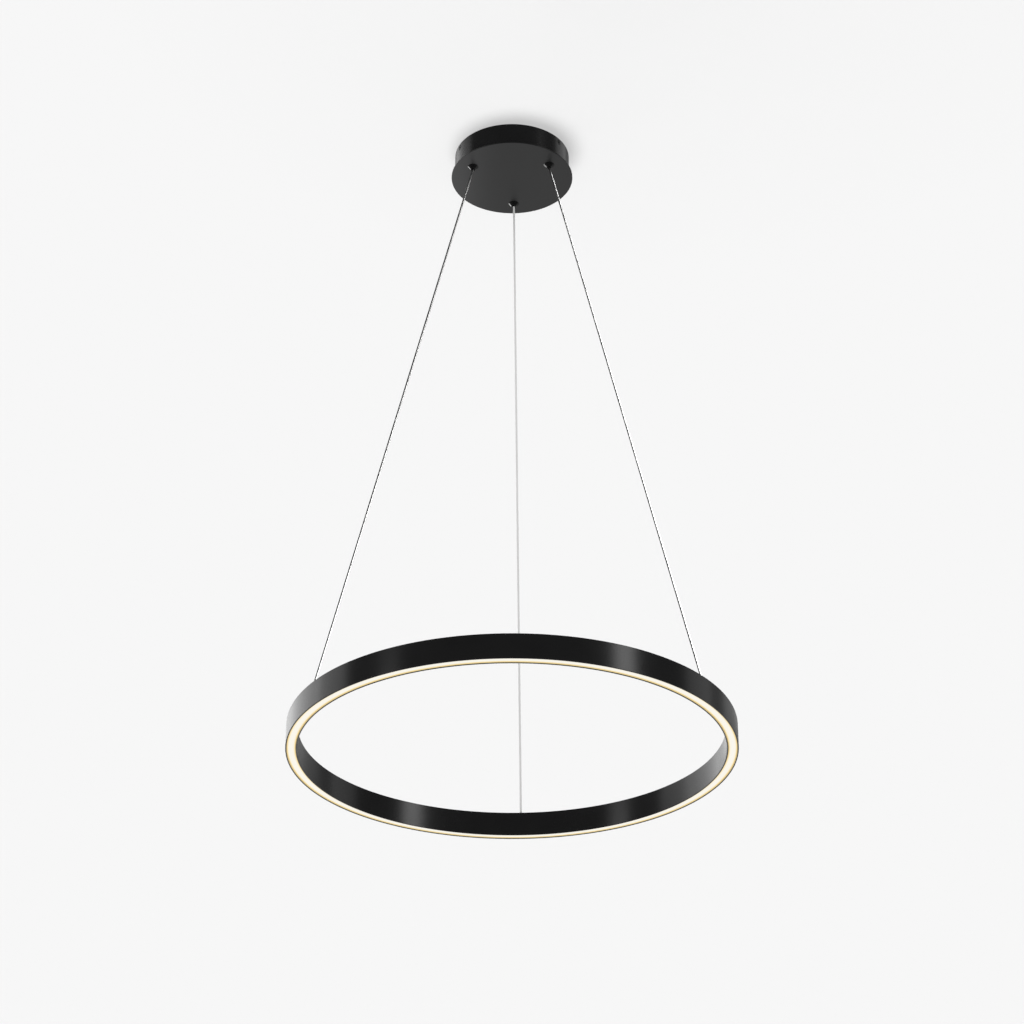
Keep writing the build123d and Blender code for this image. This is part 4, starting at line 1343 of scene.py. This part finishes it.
@dataclass
class Suspension:
    """The two steel wires and the power cable, with the tails inside the canopy and the ring."""

    grip_radius: float = 0.065
    exit_radius: float = 0.0653775
    exit_height: float = -0.044
    bend_height: float = -0.0425
    pivot_radius: float = 0.2915
    pivot_height: float = -0.9425
    stretch: float = 0.014
    wire_length: float = 0.9234
    wire_short: float = 0.0015
    cable_length: float = 0.9262

    def build(self) -> None:
        """Builds the hanging runs, then the tails and leads."""
        for anchor in (Anchor.LEFT, Anchor.RIGHT):
            facts = {"make": WIRE, "length": self.wire_length, "nodes": [f"suspension_wire_{anchor.side}"]}
            self.hang(anchor, self.wire_short, name=f"steel_wire_{anchor.side}", **facts)
        facts = {"make": CABLE, "length": self.cable_length, "nodes": ["power_cable"]}
        self.hang(Anchor.CABLE, 0.0, name="supply_cable", **facts)
        self.tails()
        self.leads()

    def hang(self, anchor: Anchor, short: float, **facts: "str | float | Make | list[str]") -> None:
        """One straight run from its grip to its pivot in the ring.

        Args:
            anchor: suspension point.
            short: where it stops before the pivot's centre.
            facts: its name, make, length and nodes, as Cord takes them.
        """
        start = anchor.at(self.exit_radius, self.exit_height)
        pivot = anchor.at(self.pivot_radius, self.pivot_height)
        along = (pivot - start).normalized()
        end = pivot - along * short
        route = [start, start + along * self.stretch, end - along * self.stretch, end]
        made = Cord(route=route, lay=Lay.TAUT, **facts).build()
        keep = 1 - travel_of("ring_height") / (self.exit_height - self.pivot_height)
        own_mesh(made)

    def inner_route(self, anchor: Anchor, rise_to: float, onward: Sequence[Colour]) -> list[Vector]:
        """Route of a tail: up through its grip and on across the canopy.

        Args:
            anchor: suspension point.
            rise_to: height where it turns over.
            onward: its last points.

        Returns:
            All its points.
        """
        rise = [anchor.at(self.exit_radius, self.exit_height)]
        rise += [anchor.at(self.grip_radius, height) for height in (self.bend_height, rise_to)]
        return rise + [Vector(point) for point in onward]

    def tails(self) -> None:
        """The wires' and the cable's tails in the canopy, and the cable's tail in the ring."""
        wire_ends = {
            Anchor.LEFT: (0.0754, [(-0.030, -0.022, -0.006), (-0.017, -0.025, -0.009)]),
            Anchor.RIGHT: (0.0757, [(0.030, -0.024, -0.006), (0.016, -0.019, -0.008)]),
        }
        for anchor, (length, onward) in wire_ends.items():
            route = self.inner_route(anchor, -0.005, onward)
            facts = {"nodes": [f"wire_tail_{anchor.side}"], "far_end": FarEnd.BARE}
            Cord(f"wire_end_{anchor.side}", route, WIRE, length, **facts).build()
        onward = [(-0.025, 0.060, -0.010), (-0.025, 0.0328, -0.010)]
        route = self.inner_route(Anchor.CABLE, -0.012, onward)
        Cord("cable_end_canopy", route, CABLE, 0.0785, ["power_cable_tail"]).build()
        low = -0.9495
        points = [(self.pivot_radius, 0.0, self.pivot_height), (self.pivot_radius, 0.0, low)]
        points += [(0.29225, 0.013, low), (0.2911, 0.026, low)]
        facts = {"make": CABLE, "length": 0.0314, "nodes": ["ring_cable_tail"]}
        self.in_ring(points, name="cable_end_ring", **facts)

    def in_ring(self, points: Sequence[Colour], **facts: "str | float | bool | Make | list[str]") -> None:
        """A cord inside the ring, near the cable's point.

        Args:
            points: (radius, offset to the side, height) of its route.
            facts: the rest, as Cord takes it.
        """
        route = [Anchor.CABLE.at(radius, height, side) for radius, side, height in points]
        Cord(route=route, body="ring", **facts).build()

    def leads(self) -> None:
        """The short insulated leads to the terminals, and the pair from the connector to the tape."""
        start, end = -0.0325, -0.0048
        near, far = start + 0.3 * (end - start), start + 0.6 * (end - start)
        live = [(-0.011, start, -0.0085), (-0.01, near, -0.0115), (-0.004, far, -0.01), (-0.004, end, -0.01)]
        neutral = [(0.0, start, -0.0085), (0.001, near, -0.0125), (0.004, far, -0.01), (0.004, end, -0.01)]
        Cord("live_wire", live, LIVE, end - start, ["live_lead"], free=False).build()
        Cord("neutral_wire", neutral, NEUTRAL, end - start, ["neutral_lead"], free=False).build()
        earth = [
            (0.011, -0.0475, -0.0085),
            (0.012, -0.0571, -0.0075),
            (0.0242, -0.0571, -0.0035),
            (0.035, -0.052, -0.0035),
            (0.0375, -0.052, -0.0035),
        ]
        Cord("earth_wire", earth, EARTH, 0.0351, ["earth_lead"]).build()
        pair = [
            [(0.291045, 0.040017, -0.9495), (0.29069, 0.044001, -0.9495), (0.29069, 0.044001, -0.955)],
            [(0.288655, 0.039804, -0.9495), (0.2883, 0.043788, -0.9495), (0.2883, 0.043788, -0.955)],
        ]
        for number, points in enumerate(pair, 1):
            facts = {"make": TAPE_LEAD, "length": 0.0087, "nodes": ["ring_leads"], "free": False}
            self.in_ring(points, name=f"tape_wire_{number}", **facts)


# ---------------------------------------------------------------- carried-over parts
@dataclass
class CarriedParts:
    """Inner parts that keep their CAD shape and get a finish of their own."""

    def groups(self) -> dict[Finish, list[str]]:
        """The nodes that each finish goes on."""
        sides = ("left", "right")
        return {
            ALUMINIUM: ["led_carrier", *(f"anchor_block_{anchor.side}" for anchor in Anchor), "spacer_posts"],
            TAPE: ["led_tape"],
            CHIPS: ["led_chips"],
            BALL_STEEL: [f"{ball}_{side}" for ball in ("wire_ball", "gripper_balls") for side in sides],
            ZINC: [
                *("carrier_screws", "plate_nuts", "rim_nuts", "ceiling_base", "base_nuts"),
                *("terminal_screws", "gripper_cap_left", "gripper_cap_right", "gripper_nuts"),
            ],
            SCREW_BLACK: ["cable_clamp_screw"],
            NYLON: ["ring_connector", "cord_grip_cap", "board_terminals", "terminal_block"],
            BRASS: ["terminal_clamps", "earth_tag"],
            RUBBER: ["cable_grommet"],
            WHITE_CASE: ["driver_case", "driver_lid"],
            BOARD: ["driver_board"],
            COIL: ["driver_transformer"],
            CHOKE_COIL: ["driver_choke"],
            CAN_SLEEVE: ["driver_capacitors"],
        }

    def build(self) -> None:
        """Dresses each node."""
        for finish, nodes in self.groups().items():
            for node in nodes:
                finish.dress(frame["nodes"][node])
            log.info("%s on %d carried parts", finish.name, len(nodes))


# ---------------------------------------------------------------- studio
@dataclass
class Softbox:
    """A rectangular lamp that faces the object, placed and sized by angles in degrees."""

    name: str
    azimuth: float
    elevation: float
    width: float
    height: float
    radiance: float
    distance: float = 12.0
    target: Colour = (0.0, 0.0, -0.8)
    lit: Sequence[str] = ()

    def build(self) -> None:
        """Hangs the lamp round its target; azimuth 0 is on the camera's side and grows to the right."""
        light = bpy.data.lights.new(self.name, "AREA")
        light.shape = "RECTANGLE"
        angles = (self.width, self.height)
        light.size, light.size_y = (2 * self.distance * tan(radians(angle / 2)) for angle in angles)
        light.energy = self.radiance * pi * light.size * light.size_y
        turn, rise = radians(self.azimuth), radians(self.elevation)
        back = Vector((sin(turn) * cos(rise), -cos(turn) * cos(rise), sin(rise)))
        lamp = put_in_scene(self.name, light)
        lamp.location = Vector(self.target) + back * self.distance
        lamp.rotation_euler = back.to_track_quat("Z", "Y").to_euler()
        lamp.visible_camera = False
        if self.lit:
            light_only(lamp, *(bpy.data.objects[name] for name in self.lit))
        log.info("%s at azimuth %.0f", self.name, self.azimuth)


def light_only(lamp: bpy.types.Object, *lit: bpy.types.Object) -> None:
    """Limits a lamp to some objects.

    Args:
        lamp: the lamp.
        lit: the only objects that it lights.
    """
    group = bpy.data.collections.new(f"lit_by_{lamp.name}")
    for piece in lit:
        group.objects.link(piece)
    lamp.light_linking.receiver_collection = group


@dataclass
class Studio:
    """Camera, pale ceiling and floor, soft lamps and the pale surroundings."""

    lens: float = 94.885
    clip_end: float = 200.0
    camera_place: Colour = (0.0, -3.2985, -2.3936)
    camera_pitch: float = 118.494
    pale: float = 0.93
    daylight: float = 0.8
    room: float = 0.03
    room_behind: float = 0.2
    room_left: float = 0.25
    room_below: float = 0.37
    plane_reach: float = 14.0
    floor_height: float = -2.6
    floor_share: float = 0.4
    lamp_spill: float = 0.16
    ceiling_share: float = 0.1
    ceiling_lamp: float = 3.45
    ceiling_lamp_width: float = 46.0
    ceiling_lamp_from: Colour = (-0.17, 0.45, -1.0)

    def build(self) -> None:
        """Builds every part of the stage."""
        self.camera()
        self.surroundings()
        self.ceiling()
        self.floor()
        for box in self.softboxes():
            box.build()
        bpy.context.scene.view_settings.view_transform = "Standard"

    def camera(self) -> None:
        """Camera below the lamp, at the photograph's viewing angle."""
        data = bpy.data.cameras.new("camera")
        data.lens = self.lens
        data.clip_end = self.clip_end
        made = put_in_scene("camera", data)
        made.location = self.camera_place
        made.rotation_euler = (radians(self.camera_pitch), 0.0, 0.0)
        bpy.context.scene.camera = made

    def softboxes(self) -> list[Softbox]:
        """The lamps, from the right of the camera round to the left."""
        return [
            Softbox("right_box", 57.5, 23.0, 10.0, 20.0, 3.2),
            Softbox("left_box", -62.0, 14.6, 10.0, 14.0, 2.4),
            Softbox("left_side_box", -103.0, 30.0, 22.0, 18.2, 0.95),
            Softbox("left_back_box", -134.0, 30.0, 38.0, 18.2, 1.32),
            Softbox("back_box", -168.0, 27.3, 24.0, 10.4, 0.95),
            Softbox("back_right_box", 170.0, 28.5, 20.0, 7.0, 1.0),
            Softbox("right_back_box", 150.0, 28.0, 28.0, 9.0, 0.3),
            Softbox("back_low_box", 172.0, 18.0, 12.0, 6.0, 1.6),
            Softbox("right_strip", 108.0, 24.0, 20.0, 14.0, 0.42),
            Softbox("right_high_strip", 120.0, 43.0, 30.0, 16.0, 0.5),
            Softbox("left_wire_box", 80.0, 11.0, 44.0, 18.0, 16.0, lit=("steel_wire_left",)),
            Softbox("right_wire_box", 75.0, 37.0, 44.0, 26.0, 18.0, lit=("steel_wire_right",)),
            Softbox("grip_box", -140.0, -4.0, 26.0, 26.0, 7.0, lit=GRIP_HEADS),
        ]

    def surroundings(self) -> None:
        """Pale world: even for the camera, darker on the camera's side in reflections."""
        world = bpy.data.worlds.new("surroundings")
        bpy.context.scene.world = world
        graph = Graph(world)
        direction = graph.add("ShaderNodeTexCoord", output="Generated")
        across, ahead, up = graph.parts(direction)
        behind = ahead.step(0.1, 0.9)
        left = across.step(0.3, -0.6)
        below = up.step(0.1, -0.4)
        room = self.room + behind * (self.room_behind + self.room_left * left)
        room = room + ahead.step(-0.4, 0.8) * below * self.room_below
        seen = graph.add("ShaderNodeLightPath", output="Is Camera Ray")
        rays = seen.socket.node.outputs
        glossy, clear = (Signal(graph, rays[kind]) for kind in ("Is Glossy Ray", "Is Transmission Ray"))
        level = glossy * room + (seen + clear) * self.pale
        level = level + (1 - glossy - seen - clear) * self.daylight
        background = graph.add("ShaderNodeBackground", inputs={"Color": (1.0, 1.0, 1.0), "Strength": level})
        graph.add("ShaderNodeOutputWorld", inputs={"Surface": background})

    def plane(self, name: str, height: float, facing: int, share: float, light: float) -> bpy.types.Object:
        """Large plane seen from one side only, with a share of it lit by the studio.

        Args:
            name: the plane's name.
            height: where it lies.
            facing: 1 to face up, -1 to face down.
            share: its diffuse reflectance.
            light: light level that it gets where nothing shades it.

        Returns:
            The plane.
        """
        shape = Shape()
        bmesh.ops.create_grid(shape.work, x_segments=1, y_segments=1, size=self.plane_reach)
        if facing < 0:
            bmesh.ops.reverse_faces(shape.work, faces=shape.work.faces)
        plane = put_in_scene(name, shape.moved(out(0.0, 0.0, height))._mesh(name))
        material = bpy.data.materials.new(name)
        graph = Graph(material)
        lit = graph.add("ShaderNodeBsdfDiffuse", inputs={"Color": (share, share, share)})
        rest = self.pale - share * light
        glow = graph.add("ShaderNodeEmission", inputs={"Color": (1.0, 1.0, 1.0), "Strength": rest})
        front = graph.add("ShaderNodeAddShader", inputs={0: lit, 1: glow})
        back = graph.add("ShaderNodeNewGeometry", output="Backfacing")
        clear = graph.add("ShaderNodeBsdfTransparent")
        surface = graph.add("ShaderNodeMixShader", inputs={0: back, 1: front, 2: clear})
        graph.add("ShaderNodeOutputMaterial", inputs={"Surface": surface})
        plane.data.materials.append(material)
        plane.visible_shadow = False
        plane.visible_diffuse = False
        plane.visible_glossy = False
        return plane

    def ceiling(self) -> None:
        """Pale ceiling with the canopy's soft shadow, cast by a broad lamp that lights only the ceiling."""
        ceiling = self.plane("ceiling", 0.0, -1, self.ceiling_share, self.daylight + self.ceiling_lamp)
        light = bpy.data.lights.new("ceiling_lamp", "SUN")
        light.angle = radians(self.ceiling_lamp_width)
        to_lamp = Vector(self.ceiling_lamp_from).normalized()
        light.energy = self.ceiling_lamp * pi / -to_lamp.z
        lamp = put_in_scene("ceiling_lamp", light)
        lamp.rotation_euler = to_lamp.to_track_quat("Z", "Y").to_euler()
        light_only(lamp, ceiling)

    def floor(self) -> None:
        """Pale floor."""
        self.plane("floor", self.floor_height, 1, self.floor_share, self.daylight + self.lamp_spill)


def main() -> None:
    """Builds the chandelier and its studio."""
    logging.basicConfig(level=logging.INFO, format="%(name)s: %(message)s")
    Suspension().build()
    Ring().build()
    Canopy().build()
    for gripper in (Gripper(Anchor.LEFT), Gripper(Anchor.RIGHT), CordGrip()):
        gripper.build()
    CarriedParts().build()
    Studio().build()


if __name__ == "__main__":
    main()
